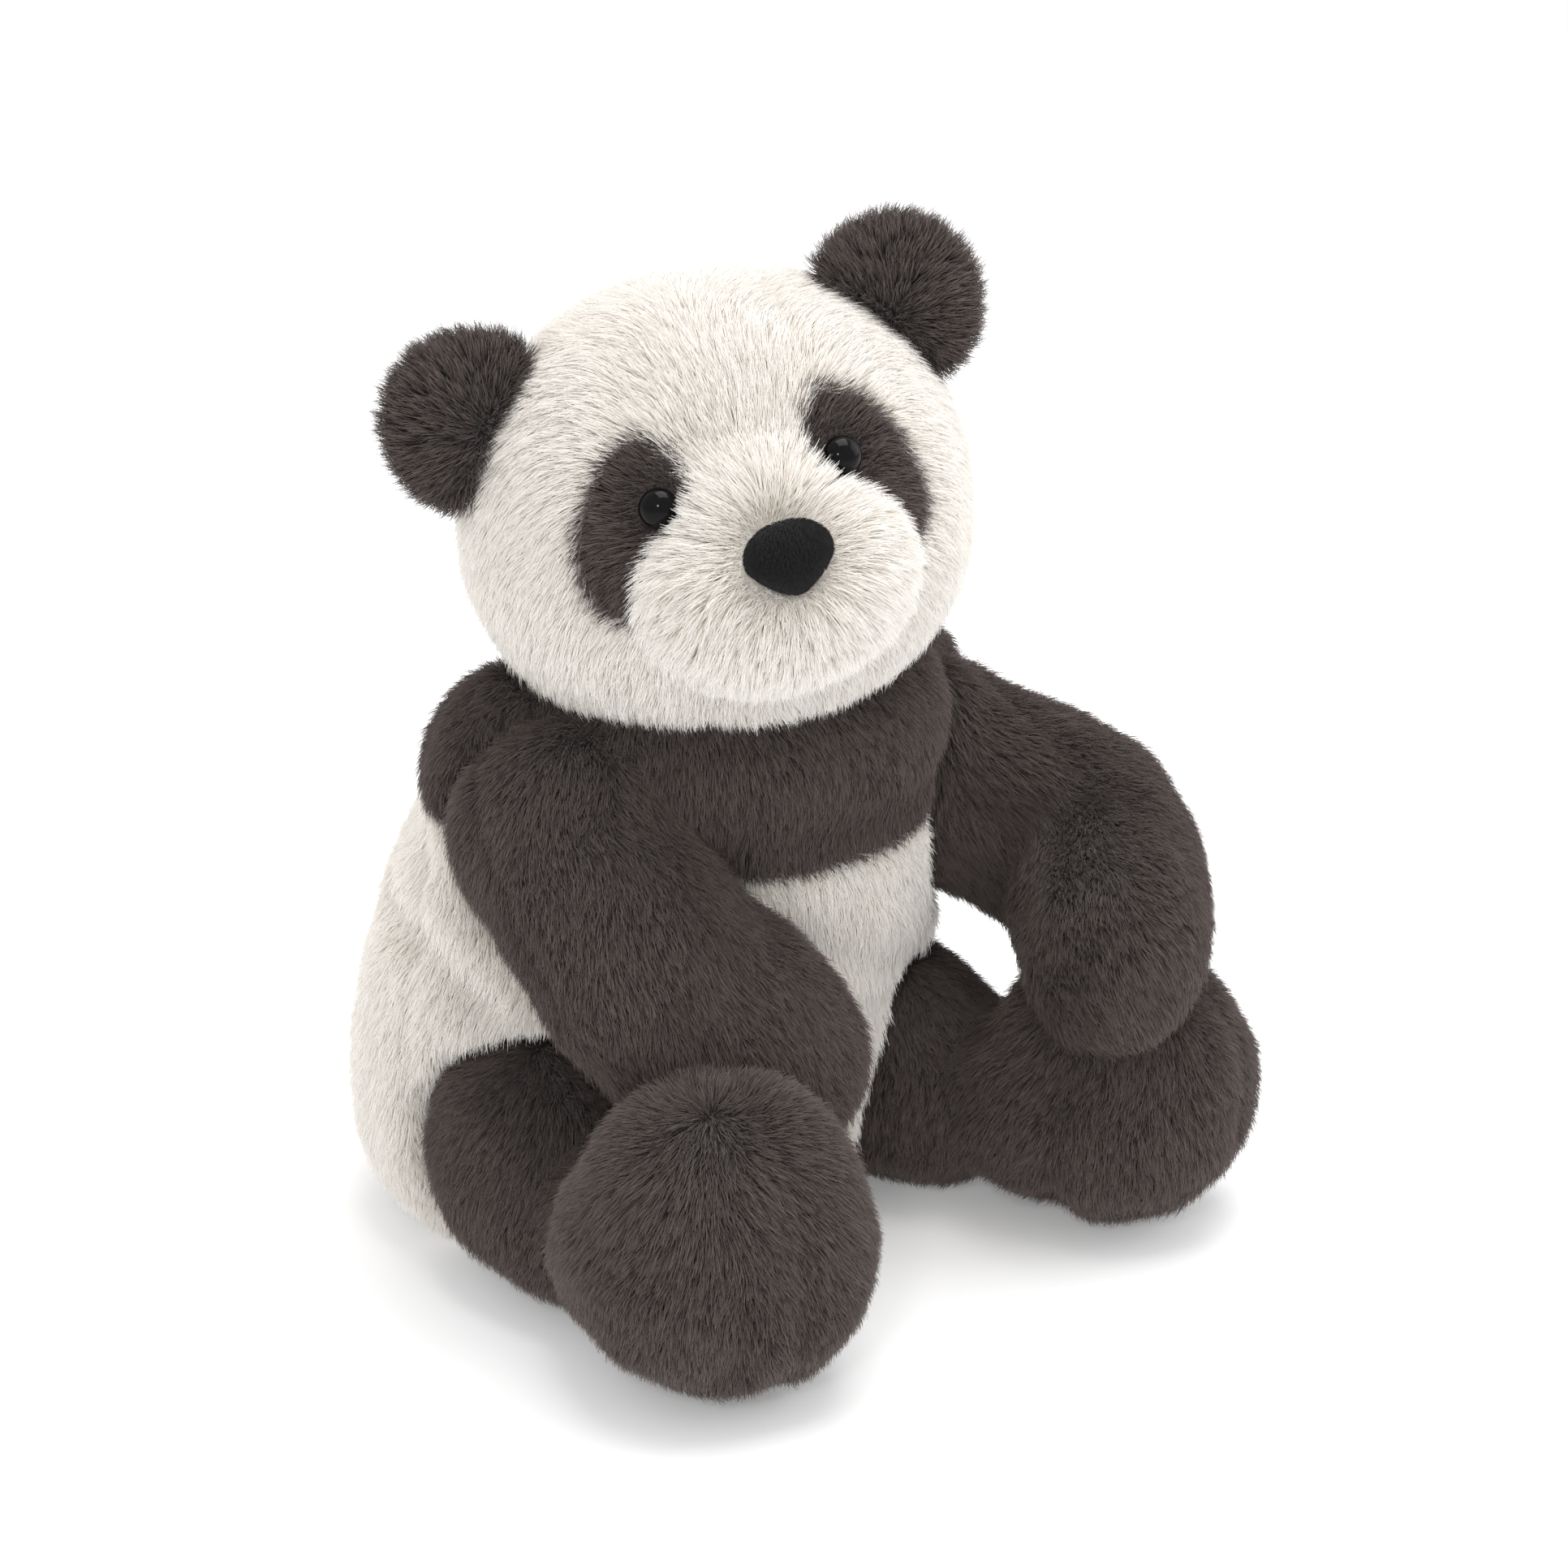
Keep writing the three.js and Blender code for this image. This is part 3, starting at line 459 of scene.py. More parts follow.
def grow_pile(skin, fibre, seed, **values):
    """Grows the pile of a skin, as fibres that ride with it."""
    group = bpy.data.node_groups.get("Plush pile") or pile_group()
    pile = link(bpy.data.objects.new(f"{skin.name}_pile", bpy.data.hair_curves.new(f"{skin.name}_pile")))
    pile.parent = skin
    modifier = pile.modifiers.new("Pile", "NODES")
    modifier.node_group = group
    names = {item.name: item.identifier for item in group.interface.items_tree if item.in_out == "INPUT"}
    sizes = bpy.context.scene.plush_sizes
    settings = {"Skin": skin, "Density": sizes.density, "Length": sizes.pile, "Radius": sizes.fibre,
                "Seed": seed, "Fibre": fibre}
    settings.update(values)
    for key, value in settings.items():
        modifier[names[key]] = value


# ------------------------------------------------------------------------------ forms from the frame


def link(obj):
    """Puts a new object in the scene."""
    bpy.context.scene.collection.objects.link(obj)
    return obj


def coordinates(mesh):
    """A mesh's points as an array."""
    points = np.empty(len(mesh.vertices) * 3, np.float64)
    mesh.vertices.foreach_get("co", points)
    return points.reshape(-1, 3)


def normals(mesh):
    """A mesh's point normals as an array."""
    found = np.empty(len(mesh.vertices) * 3, np.float64)
    mesh.vertex_normals.foreach_get("vector", found)
    return found.reshape(-1, 3)


def place_points(mesh, points):
    """Moves a mesh's points to an array of places."""
    mesh.vertices.foreach_set("co", points.ravel())
    mesh.update()


def surface_tree(node):
    """A search tree over the faces of a frame node."""
    mesh = frame["nodes"][node].data
    return BVHTree.FromPolygons([v.co for v in mesh.vertices], [list(p.vertices) for p in mesh.polygons])


def applied(obj):
    """Applies every modifier on an object and returns it."""
    evaluated = obj.evaluated_get(bpy.context.evaluated_depsgraph_get())
    mesh = bpy.data.meshes.new_from_object(evaluated)
    obj.modifiers.clear()
    obj.data = mesh
    return obj


def largest_body(mesh):
    """Keeps only the largest connected part of a mesh."""
    work = bmesh.new()
    work.from_mesh(mesh)
    left, parts = set(work.verts), []
    while left:
        seed = left.pop()
        part, front = [seed], [seed]
        while front:
            vert = front.pop()
            for edge in vert.link_edges:
                other = edge.other_vert(vert)
                if other in left:
                    left.remove(other)
                    part.append(other)
                    front.append(other)
        parts.append(part)
    parts.sort(key=len)
    bmesh.ops.delete(work, geom=[v for part in parts[:-1] for v in part], context="VERTS")
    work.to_mesh(mesh)
    work.free()


def soft_form(name, nodes, smoothing, extra=()):
    """One smooth closed skin round some of the frame's solids, and round extra balls of (centre, radii)."""
    voxel = bpy.context.scene.plush_sizes.voxel
    points, faces = [], []
    for node in nodes:
        mesh = frame["nodes"][node].data
        start = len(points)
        points.extend(v.co.copy() for v in mesh.vertices)
        faces.extend([start + i for i in p.vertices] for p in mesh.polygons)
    for centre, radii in extra:
        work = bmesh.new()
        bmesh.ops.create_uvsphere(work, u_segments=40, v_segments=24, radius=1)
        start = len(points)
        points.extend(Vector(centre) + v.co * Vector(radii) for v in work.verts)
        faces.extend([start + v.index for v in f.verts] for f in work.faces)
        work.free()
    mesh = bpy.data.meshes.new(name)
    mesh.from_pydata(points, [], faces)
    form = link(bpy.data.objects.new(name, mesh))
    remesh = form.modifiers.new("Remesh", "REMESH")
    remesh.mode = "VOXEL"
    remesh.voxel_size = voxel
    applied(form)
    largest_body(form.data)
    smooth = form.modifiers.new("Smooth", "SMOOTH")
    smooth.factor = 0.5
    smooth.iterations = smoothing
    applied(form)
    return form


def skin_labels(form, skins):
    """The number of the nearest frame panel, for each face of a form."""
    trees = [surface_tree(node) for node in skins]
    labels = []
    for face in form.data.polygons:
        distances = [tree.find_nearest(face.center)[3] for tree in trees]
        labels.append(int(np.argmin(distances)))
    return labels


def settle_labels(work, labels, rounds=4):
    """Removes single faces that stick out over a seam, so that the seam runs clean."""
    for _ in range(rounds):
        fresh = list(labels)
        for face in work.faces:
            others = [other for edge in face.edges for other in edge.link_faces if other != face]
            near = [labels[other.index] for other in others]
            for candidate in set(near):
                if near.count(candidate) >= 3 and candidate != labels[face.index]:
                    fresh[face.index] = candidate
        labels = fresh
    return labels


def straighten_seams(form, labels, rounds=14):
    """Relaxes the points on the seams along them, and returns the seam points."""
    work = bmesh.new()
    work.from_mesh(form.data)
    work.faces.ensure_lookup_table()
    labels = settle_labels(work, labels)
    surface = BVHTree.FromBMesh(work)
    links = {}
    for edge in work.edges:
        sides = {labels[face.index] for face in edge.link_faces}
        if len(sides) > 1:
            a, b = edge.verts
            links.setdefault(a, set()).add(b)
            links.setdefault(b, set()).add(a)
    for _ in range(rounds):
        moved = {}
        for vert, others in links.items():
            if len(others) == 2:
                middle = sum((o.co for o in others), Vector()) / 2
                moved[vert] = surface.find_nearest(vert.co.lerp(middle, 0.6))[0]
        for vert, place in moved.items():
            vert.co = place
    near = {vert for seam in links for edge in seam.link_edges for vert in edge.verts} - set(links)
    for _ in range(3):
        moved = {}
        for vert in near:
            middle = sum((e.other_vert(vert).co for e in vert.link_edges), Vector()) / len(vert.link_edges)
            moved[vert] = surface.find_nearest(vert.co.lerp(middle, 0.5))[0]
        for vert, place in moved.items():
            vert.co = place
    seam_points = [vert.co.copy() for vert in links]
    work.to_mesh(form.data)
    work.free()
    return labels, seam_points


def distance_to(points, targets):
    """How far each point is from the nearest target."""
    if not targets:
        return np.full(len(points), 1.0)
    tree = kdtree.KDTree(len(targets))
    for i, target in enumerate(targets):
        tree.insert(target, i)
    tree.balance()
    return np.array([tree.find(p)[2] for p in points])


def polyline(points, spacing=0.001):
    """Points close together along a line of points."""
    found = []
    for a, b in zip(points, points[1:]):
        a, b = Vector(a), Vector(b)
        count = max(2, int((b - a).length / spacing))
        found.extend(a.lerp(b, i / count) for i in range(count))
    return found


def unit(array):
    """Rows of an array made one long."""
    size = np.linalg.norm(array, axis=1, keepdims=True)
    return array / np.maximum(size, 1e-9)


def tangential(flow, outward):
    """A flow with its part along the normals taken away, as unit vectors."""
    return unit(flow - outward * np.sum(flow * outward, axis=1, keepdims=True))


def store_attribute(mesh, name, values, kind="FLOAT"):
    """Stores an array on a mesh's points."""
    attribute = mesh.attributes.get(name) or mesh.attributes.new(name, kind, "POINT")
    key = "vector" if kind == "FLOAT_VECTOR" else "value"
    attribute.data.foreach_set(key, np.ascontiguousarray(values, np.float32).ravel())


# Soft lumps of the filling and tufts of the pile: how many to a metre, and how high.
LUMPS_TO_A_METRE, LUMP_HEIGHT = 38, 0.0011
TUFTS_TO_A_METRE, TUFT_HEIGHT = 210, 0.0006
# How much longer a tuft is along the nap.
TUFT_STRETCH = 0.55
# Width of the groove at a seam, and how far from the seam the relief comes back to its full height.
SEAM_WIDTH, SEAM_CALM = 0.004, 0.006


def relief(points, nap, seed):
    """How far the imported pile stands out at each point: tufts that run along the nap over soft lumps."""
    lumps = np.array([noise.noise(Vector(p) * LUMPS_TO_A_METRE + Vector((seed, 0, 0))) for p in points])
    run = np.sum(points * nap, axis=1, keepdims=True)
    streaked = points - nap * run * TUFT_STRETCH
    tufts = np.array([noise.noise(Vector(p) * TUFTS_TO_A_METRE + Vector((0, seed, 0))) for p in streaked])
    return lumps * LUMP_HEIGHT + tufts * TUFT_HEIGHT


def press(form, grooves):
    """Presses grooves into a form. Each groove is (points, depth, width)."""
    points, outward = coordinates(form.data), normals(form.data)
    push = np.zeros(len(points))
    for line, depth, width in grooves:
        gap = distance_to(points, polyline(line))
        push += depth * np.exp(-((gap / width) ** 2))
    points -= outward * push[:, None]
    place_points(form.data, points)


def soften_near(form, nodes, reach, rounds):
    """Rounds off a form's edges where it comes close to other solids of the frame."""
    trees = [surface_tree(node) for node in nodes]
    group = form.vertex_groups.new(name="near")
    for vert in form.data.vertices:
        gap = min(tree.find_nearest(vert.co)[3] for tree in trees)
        if gap < reach:
            group.add([vert.index], 1 - gap / reach, "REPLACE")
    smooth = form.modifiers.new("Soften", "SMOOTH")
    smooth.vertex_group = group.name
    smooth.factor = 0.9
    smooth.iterations = rounds
    applied(form)
    form.vertex_groups.clear()


def pinch(form, centre, axis, depth, width):
    """Draws a form in all round, where it passes through a plane."""
    points, outward = coordinates(form.data), normals(form.data)
    along = (points - np.array(centre)) @ np.array(axis)
    points -= outward * (depth * np.exp(-((along / width) ** 2)))[:, None]
    place_points(form.data, points)


def filling_piece(form, node, body, depth):
    """The filling of a form, for a form that is drawn in further than the frame's own filling."""
    points, outward = coordinates(form.data), normals(form.data)
    mesh = form.data.copy()
    place_points(mesh, points - outward * depth)
    piece = link(bpy.data.objects.new(f"{node}_fill", mesh))
    piece.data.materials.append(filling_materials()["fibre"])
    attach(piece, body)
    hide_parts(node)


# The height at which the plush rests on the floor.
FLOOR_REST = 0.0004


def dress(form, skins, flow, length, material_of, body, seed, seam=1.0):
    """Cuts a form into its sewn panels, and gives each its backing, nap and pile. Each rides a frame body."""
    sizes = bpy.context.scene.plush_sizes
    labels, seam_points = straighten_seams(form, skin_labels(form, skins))
    points, outward = coordinates(form.data), normals(form.data)
    seam_gap = distance_to(points, seam_points)
    nap = tangential(flow(points), outward)
    push = -sizes.under - seam * sizes.seam * np.exp(-((seam_gap / SEAM_WIDTH) ** 2))
    push = push + relief(points, nap, seed) * np.clip(seam_gap / SEAM_CALM, 0.2, 1)
    points = points + outward * push[:, None]
    points[:, 2] = np.maximum(points[:, 2], FLOOR_REST)
    place_points(form.data, points)
    outward = normals(form.data)
    pile = length(points)
    for number, node in enumerate(skins):
        piece = panel_piece(form.data, [i for i, label in enumerate(labels) if label == number],
                            f"{node}_plush", outward, nap, pile, sizes.backing)
        skin, fibre, values = material_of(node)
        piece.data.materials.append(skin)
        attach(piece, body)
        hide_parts(node)
        grow_pile(piece, fibre, seed + number, **values)
    bpy.data.objects.remove(form)


def panel_piece(mesh, faces, name, outward, nap, pile, thickness):
    """One panel as a closed piece of cloth: its outer side carries the pile, its inner side and rim don't."""
    corners = [list(mesh.polygons[i].vertices) for i in faces]
    used = sorted({v for face in corners for v in face})
    row = {v: i for i, v in enumerate(used)}
    count = len(used)
    outer = coordinates(mesh)[used]
    inner = outer - outward[used] * thickness
    top = [[row[v] for v in face] for face in corners]
    bottom = [[row[v] + count for v in reversed(face)] for face in corners]
    sides = {}
    for face in top:
        for a, b in zip(face, face[1:] + face[:1]):
            sides[(a, b)] = True
    rim = [[b, a, a + count, b + count] for a, b in sides if (b, a) not in sides]
    cloth = bpy.data.meshes.new(name)
    cloth.from_pydata(np.vstack([outer, inner]).tolist(), [], top + bottom + rim)
    cloth.update()
    cloth.shade_smooth()
    store_attribute(cloth, "nap", np.vstack([nap[used], nap[used]]), "FLOAT_VECTOR")
    store_attribute(cloth, "pile", np.concatenate([pile[used], np.zeros(count)]))
    return link(bpy.data.objects.new(name, cloth))


# ------------------------------------------------------------------------------ plush cloths


def plush_materials():
    """The two plush cloths: skin, fibre and the pile's own values for each."""
    if "Charcoal skin" not in bpy.data.materials:
        colours = bpy.context.scene.plush_colours
        streaks = pile_streak_group()
        # The charcoal backing's root colour is darkened to 0.45 of the plush colour: painted shade deep in the
        # pile. The cream backing's root colour is only slightly darker.
        skin_material("Charcoal skin", streaks, [c * 0.45 for c in colours.dark], colours.dark_tip)
        skin_material("Cream skin", streaks, [c * 0.96 for c in colours.white], colours.white_tip)
        fibre_material("Charcoal fibre", colours.dark, colours.dark_tip, 0.42)
        fibre_material("Cream fibre", colours.white, colours.white_tip, 0.06)
    found = bpy.data.materials
    dark = (found["Charcoal skin"], found["Charcoal fibre"], {"Lean": 0.5, "Tuft": 0.3, "Frizz": 0.0015})
    white = (found["Cream skin"], found["Cream fibre"], {"Lean": 0.55, "Tuft": 0.35, "Frizz": 0.0014})
    return dark, white


def nodes_of(*starts):
    """The frame's nodes whose names start so."""
    return [name for name in frame["nodes"] if name.startswith(starts)]


def steady(value):
    """A pile length that is the same everywhere."""
    return lambda points: np.full(len(points), value)


def flow_down(points):
    """Nap that runs down."""
    return np.tile(DOWN, (len(points), 1))


# ------------------------------------------------------------------------------ operators

# For each kind of body: the rounds of smoothing, the fullness of its padding and the seed of its first panel.
FORMS = {
    "torso": (14, 0.8, 11), "head": (16, 0.85, 31), "ear": (8, 0.5, 51), "arm": (14, 0.8, 61),
    "leg": (16, 0.85, 71),
}
# How far the seeds of the left limb lie above those of the right one.
SEED_STEP = 4
# How near to the limbs the torso is rounded off, and by how many rounds.
ARM_SOFTENING = (0.018, 80)
LEG_SOFTENING = (0.013, 40)
# The pull at each ankle: its depth and its width.
ANKLE_PINCH = (0.0045, 0.009)
# How deep the legs' filling lies, in depths of the backing.
LEG_FILLING_DEPTH = 2.6
# Pile of the ears against the ordinary pile, and how their fibres lean.
EAR_PILE, EAR_LEAN = 1.4, 0.3
MUZZLE_PILE = {"Lean": 0.6, "Tuft": 0.5, "Frizz": 0.0016}
# The face has shallow seams, and so have the ears.
HEAD_SEAM, EAR_SEAM = 0.3, 0.2


class PANDA_OT_torso(bpy.types.Operator):
    """Make the body: a dark yoke over a white tummy, back and seat"""

    bl_idname = "panda.torso"
    bl_label = "Body"

    def execute(self, context):
        dark, white = plush_materials()
        rounds, fill, seed = FORMS["torso"]
        form = soft_form("torso form", frame_members("torso"), rounds, SHOULDER_FILLING)
        soften_near(form, nodes_of("arm_right", "arm_left"), *ARM_SOFTENING)
        soften_near(form, nodes_of("leg_right", "leg_left"), *LEG_SOFTENING)
        press(form, TORSO_FOLDS)
        skins = ["chest_yoke", "back_yoke", "tummy_panel", "back_panel_left", "back_panel_right",
                 "base_panel"]

        def material_of(node):
            return dark if "yoke" in node else white

        dress(form, skins, flow_down, steady(1.0), material_of, "torso", seed)
        return {"FINISHED"}


class PANDA_OT_head(bpy.types.Operator):
    """Make the head: white plush with a fluffy muzzle and dark eye patches"""

    bl_idname = "panda.head"
    bl_label = "Head"

    def execute(self, context):
        dark, white = plush_materials()
        matrix = head_matrix(context.scene.face_sizes.nose_tilt)
        into = np.array(matrix.inverted())
        turn = np.array(matrix.to_3x3())
        face = ("nose", "eye_right", "eye_left")
        solids = [node for node in frame_members("head") if not node.startswith(face)]
        bridge = (matrix @ Vector(BRIDGE_PLACE), (BRIDGE_RADIUS,) * 3)
        rounds, fill, seed = FORMS["head"]
        form = soft_form("head form", solids, rounds, [bridge])
        skins = ["muzzle", "eye_patch_right", "eye_patch_left", "forehead_gusset", "chin_gusset",
                 "head_side_right", "head_side_left"]

        def local(points):
            return points @ into[:3, :3].T + into[:3, 3]

        nose = local(np.array(box_centre("nose")))
        eyes = [local(np.array(box_centre(f"eye_{side}"))) for side in SIDES]

        def flow(points):
            here = local(points)
            # Away from the nose over the muzzle and cheeks, up the forehead, then down the back and sides.
            spoke = unit(here - nose)
            down = flow_down(here)
            brow = np.tile([0.0, 0.5, 1.0], (len(here), 1))
            front = 1 / (1 + np.exp((here[:, 1:2] + 0.045) / 0.01))
            high = 1 / (1 + np.exp(-(here[:, 2:3] - 0.012) / 0.008))
            face = spoke * 1.0 + (down * (1 - high) + brow * high) * 0.5
            side = down + np.array([0.0, 0.35, 0.0])
            return (face * front + side * (1 - front)) @ turn.T

        def length(points):
            here = local(points)
            pile = np.full(len(here), 1.0)
            snout = np.exp(-((np.linalg.norm(here - nose, axis=1) / 0.04) ** 2))
            pile += 0.25 * snout
            jowl = np.clip((-here[:, 2] - 0.02) / 0.03, 0, 1)
            pile += 0.15 * jowl
            near_nose = np.linalg.norm((here - nose) / np.array([0.014, 0.014, 0.012]), axis=1)
            pile *= np.clip((near_nose - 0.75) / 0.6, 0.0, 1)
            for eye in eyes:
                gap = np.linalg.norm(here - eye, axis=1)
                pile *= np.clip((gap - 0.003) / 0.009, 0.25, 1)
            return pile

        def material_of(node):
            if "patch" in node:
                return dark
            if node == "muzzle":
                skin, fibre, values = white
                return skin, fibre, {**values, **MUZZLE_PILE}
            return white

        dress(form, skins, flow, length, material_of, "head", seed, seam=HEAD_SEAM)
        return {"FINISHED"}


class PANDA_OT_ears(bpy.types.Operator):
    """Make the two ears"""

    bl_idname = "panda.ears"
    bl_label = "Ears"

    def execute(self, context):
        dark, _ = plush_materials()
        rounds, fill, seed = FORMS["ear"]
        for number, side in enumerate(SIDES):
            body = f"ear_{side}"
            form = soft_form(f"{body} form", frame_members(body), rounds)
            foot = np.array(JOINTS[f"{body}_fold"]["pos_m"])

            def flow(points, foot=foot):
                return points - foot

            skin, fibre, values = dark
            fluffy = (skin, fibre, {**values, "Lean": EAR_LEAN})
            dress(form, [f"{body}_front", f"{body}_back"], flow, steady(EAR_PILE), lambda node: fluffy, body,
                  seed + SEED_STEP * number, seam=EAR_SEAM)
        return {"FINISHED"}


class PANDA_OT_arms(bpy.types.Operator):
    """Make the two arms"""

    bl_idname = "panda.arms"
    bl_label = "Arms"

    def execute(self, context):
        dark, _ = plush_materials()
        rounds, fill, seed = FORMS["arm"]
        for number, side in enumerate(SIDES):
            body = f"arm_{side}"
            root = np.array(JOINTS[f"{body}_lift"]["pos_m"])
            cap = (tuple(root), (ARM_CAP,) * 3)
            form = soft_form(f"{body} form", frame_members(body), rounds, [cap])
            press(form, ARM_FOLDS[side])

            def flow(points, root=root):
                away = unit(points - root)
                return away + np.array([0.0, 0.0, -0.5])

            dress(form, [f"{body}_front", f"{body}_back"], flow, steady(1.0), lambda node: dark, body,
                  seed + SEED_STEP * number)
        return {"FINISHED"}


class PANDA_OT_legs(bpy.types.Operator):
    """Make the two legs with their round feet"""

    bl_idname = "panda.legs"
    bl_label = "Legs"

    def execute(self, context):
        dark, _ = plush_materials()
        rounds, fill, seed = FORMS["leg"]
        for number, side in enumerate(SIDES):
            body = f"leg_{side}"
            form = soft_form(f"{body} form", frame_members(body), rounds, [FOOT_FILLING[side]])
            hip, foot = Vector(JOINTS[f"hip_{side}_splay"]["pos_m"]), Vector(FEET[side])
            ankle = hip.lerp(foot, 0.5)
            pinch(form, ankle, (foot - hip).normalized(), *ANKLE_PINCH)
            press(form, LEG_FOLDS[side])
            whorl, heel = np.array(WHORLS[side]), np.array(ankle)
            ahead = np.array((foot - hip).normalized())

            def flow(points, whorl=whorl, heel=heel, ahead=ahead):
                # Out from the whorl on top of the foot, and down the thigh.
                on_foot = 1 / (1 + np.exp(-((points - heel) @ ahead) / 0.006))[:, None]
                return unit(points - whorl) * on_foot + np.array(DOWN) * (1 - on_foot)

            depth = context.scene.plush_sizes.under * LEG_FILLING_DEPTH
            filling_piece(form, f"{body}_stuffing", body, depth)
            dress(form, [f"{body}_outer", f"{body}_inner"], flow, steady(1.0), lambda node: dark, body,
                  seed + SEED_STEP * number)
        return {"FINISHED"}


EYE_SIDES = 40
EYE_STEPS = 14


class PANDA_OT_eyes(bpy.types.Operator):
    """Make the two glossy safety eyes"""

    bl_idname = "panda.eyes"
    bl_label = "Eyes"

    def execute(self, context):
        sizes = context.scene.face_sizes
        gloss, shader = plain_material("Eye gloss", 0.05)
        shader.inputs["Specular IOR Level"].default_value = 0.14
        tree = gloss.node_tree
        place = add_node(tree, "ShaderNodeTexCoord").outputs["Object"]
        haze = add_node(tree, "ShaderNodeTexNoise", {
            "Vector": place, "Scale": 700.0, "Detail": 2.0}).outputs["Fac"]
        shade = add_node(tree, "ShaderNodeValToRGB", {"Fac": haze})
        shade.color_ramp.elements[0].color = (0.002, 0.002, 0.002, 1)
        shade.color_ramp.elements[1].color = (0.006, 0.005, 0.005, 1)
        tree.links.new(shade.outputs["Color"], shader.inputs["Base Color"])
        for side in SIDES:
            node = f"eye_{side}"
            points = coordinates(frame["nodes"][node].data)
            middle = points.mean(0)
            # The stem is the eye's long way, and it points into the head.
            _, _, ways = np.linalg.svd(points - middle)
            out = Vector(ways[0])
            if out.dot(Vector(middle) - HEAD_CENTRE) < 0:
                out = -out
            reach = max(Vector(p - middle).dot(out) for p in points)
            tip = Vector(middle) + out * reach
            dome = lathe(f"{node}_dome", eye_profile(sizes.eye / 2, sizes.eye_dome), EYE_SIDES)
            turn = out.to_track_quat("Z", "Y").to_matrix().to_4x4()
            turn.translation = tip - out * (sizes.eye_dome - sizes.eye_out)
            dome.data.transform(turn)
            dome.data.materials.append(gloss)
            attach(dome, "head")
            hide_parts(node)
        return {"FINISHED"}


def eye_profile(radius, height):
    """The outline of a safety eye from the middle of its back, round its rim, to the top of its dome."""
    lip = radius * 0.16
    outline = [(0.0, -lip), (radius * 0.8, -lip), (radius * 0.96, -lip * 0.6), (radius, 0.0)]
    outline += [
        (radius * math.cos(a), height * math.sin(a))
        for a in (math.pi / 2 * i / EYE_STEPS for i in range(1, EYE_STEPS))
    ]
    return outline + [(0.0, height)]


def lathe(name, profile, sides):
    """A closed turned mesh about Z from (radius, height) points that start and end on the axis."""
    points = [(0.0, 0.0, profile[0][1])]
    faces = []
    for radius, height in profile[1:-1]:
        for s in range(sides):
            a = 2 * math.pi * s / sides
            points.append((radius * math.cos(a), radius * math.sin(a), height))
    points.append((0.0, 0.0, profile[-1][1]))
    rings = len(profile) - 2
    for s in range(sides):
        following = (s + 1) % sides
        faces.append((0, 1 + following, 1 + s))
        for r in range(rings - 1):
            low, high = 1 + r * sides, 1 + (r + 1) * sides
            faces.append((low + s, low + following, high + following, high + s))
        top = 1 + (rings - 1) * sides
        faces.append((top + s, top + following, len(points) - 1))
    mesh = bpy.data.meshes.new(name)
    mesh.from_pydata(points, [], faces)
    mesh.update()
    mesh.shade_smooth()
    return link(bpy.data.objects.new(name, mesh))


NOSE_HALF_WIDTH = 0.0112
NOSE_HALF_DEPTH = 0.0066
NOSE_HALF_HEIGHT = 0.0092
NOSE_PILE = {"Density": 9e6, "Length": 0.0009, "Radius": 0.00006, "Points": 4, "Tuft": 0.1, "Frizz": 0.0002}
NOSE_SEED = 91


class PANDA_OT_nose(bpy.types.Operator):
    """Make the velvet nose"""

    bl_idname = "panda.nose"
    bl_label = "Nose"

    def execute(self, context):
        colours = context.scene.plush_colours
        velvet = woven_material("Nose velvet", colours.nose, 2600.0, 0.9)
        shader = velvet.node_tree.nodes["Principled BSDF"]
        shader.inputs["Sheen Weight"].default_value = 0.12
        shader.inputs["Sheen Roughness"].default_value = 0.5
        shader.inputs["Specular IOR Level"].default_value = 0.2
        root, tip = [c * 0.6 for c in colours.nose], [c * 2.2 for c in colours.nose]
        fuzz = fibre_material("Nose pile", root, tip, 0.3)
        matrix = head_matrix(context.scene.face_sizes.nose_tilt)
        centre = matrix.inverted() @ box_centre("nose")
        nose = nose_mesh("nose_velvet", NOSE_HALF_WIDTH, NOSE_HALF_DEPTH, NOSE_HALF_HEIGHT)
        nose.data.transform(matrix @ Matrix.Translation(centre))
        points, outward = coordinates(nose.data), normals(nose.data)
        _, _, up = head_axes(context.scene.face_sizes.nose_tilt)
        nap = tangential(np.tile(-np.array(up), (len(points), 1)), outward)
        store_attribute(nose.data, "nap", nap, "FLOAT_VECTOR")
        store_attribute(nose.data, "pile", np.ones(len(points)))
        nose.data.materials.append(velvet)
        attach(nose, "head")
        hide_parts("nose")
        grow_pile(nose, fuzz, NOSE_SEED, **NOSE_PILE)
        return {"FINISHED"}


def nose_mesh(name, wide, deep, tall):
    """A padded cushion with a flat rounded top that narrows to a blunt chin."""
    work = bmesh.new()
    bmesh.ops.create_uvsphere(work, u_segments=48, v_segments=32, radius=1)
    for vert in work.verts:
        x, y, z = vert.co
        narrow = 1 - 0.42 * max(0.0, -z) ** 1.2
        square = 1 + 0.1 * abs(x) * z if z > 0 else 1
        lift = 0.04 * x * x if z > 0 else 0
        vert.co = Vector((x * wide * narrow * square, y * deep * (1 - 0.15 * z * z), (z + lift * z) * tall))
    mesh = bpy.data.meshes.new(name)
    work.to_mesh(mesh)
    work.free()
    mesh.shade_smooth()
    return link(bpy.data.objects.new(name, mesh))


class PANDA_OT_filling(bpy.types.Operator):
    """Finish the hidden parts: the stuffing, the pellet pouch and the washers"""

    bl_idname = "panda.filling"
    bl_label = "Filling"

    def execute(self, context):
        finishes = filling_materials()
        for name, node in frame["nodes"].items():
            for ending, finish in FILLING_FINISHES.items():
                if ending in name:
                    node.data.materials.clear()
                    node.data.materials.append(finishes[finish])
        return {"FINISHED"}


# What each hidden node is made of, by a part of its name.
FILLING_FINISHES = {
    "stuffing": "fibre", "wadding": "fibre", "pellet_pouch": "cotton", "pellet_fill": "pellets",
    "washer": "washer",
}


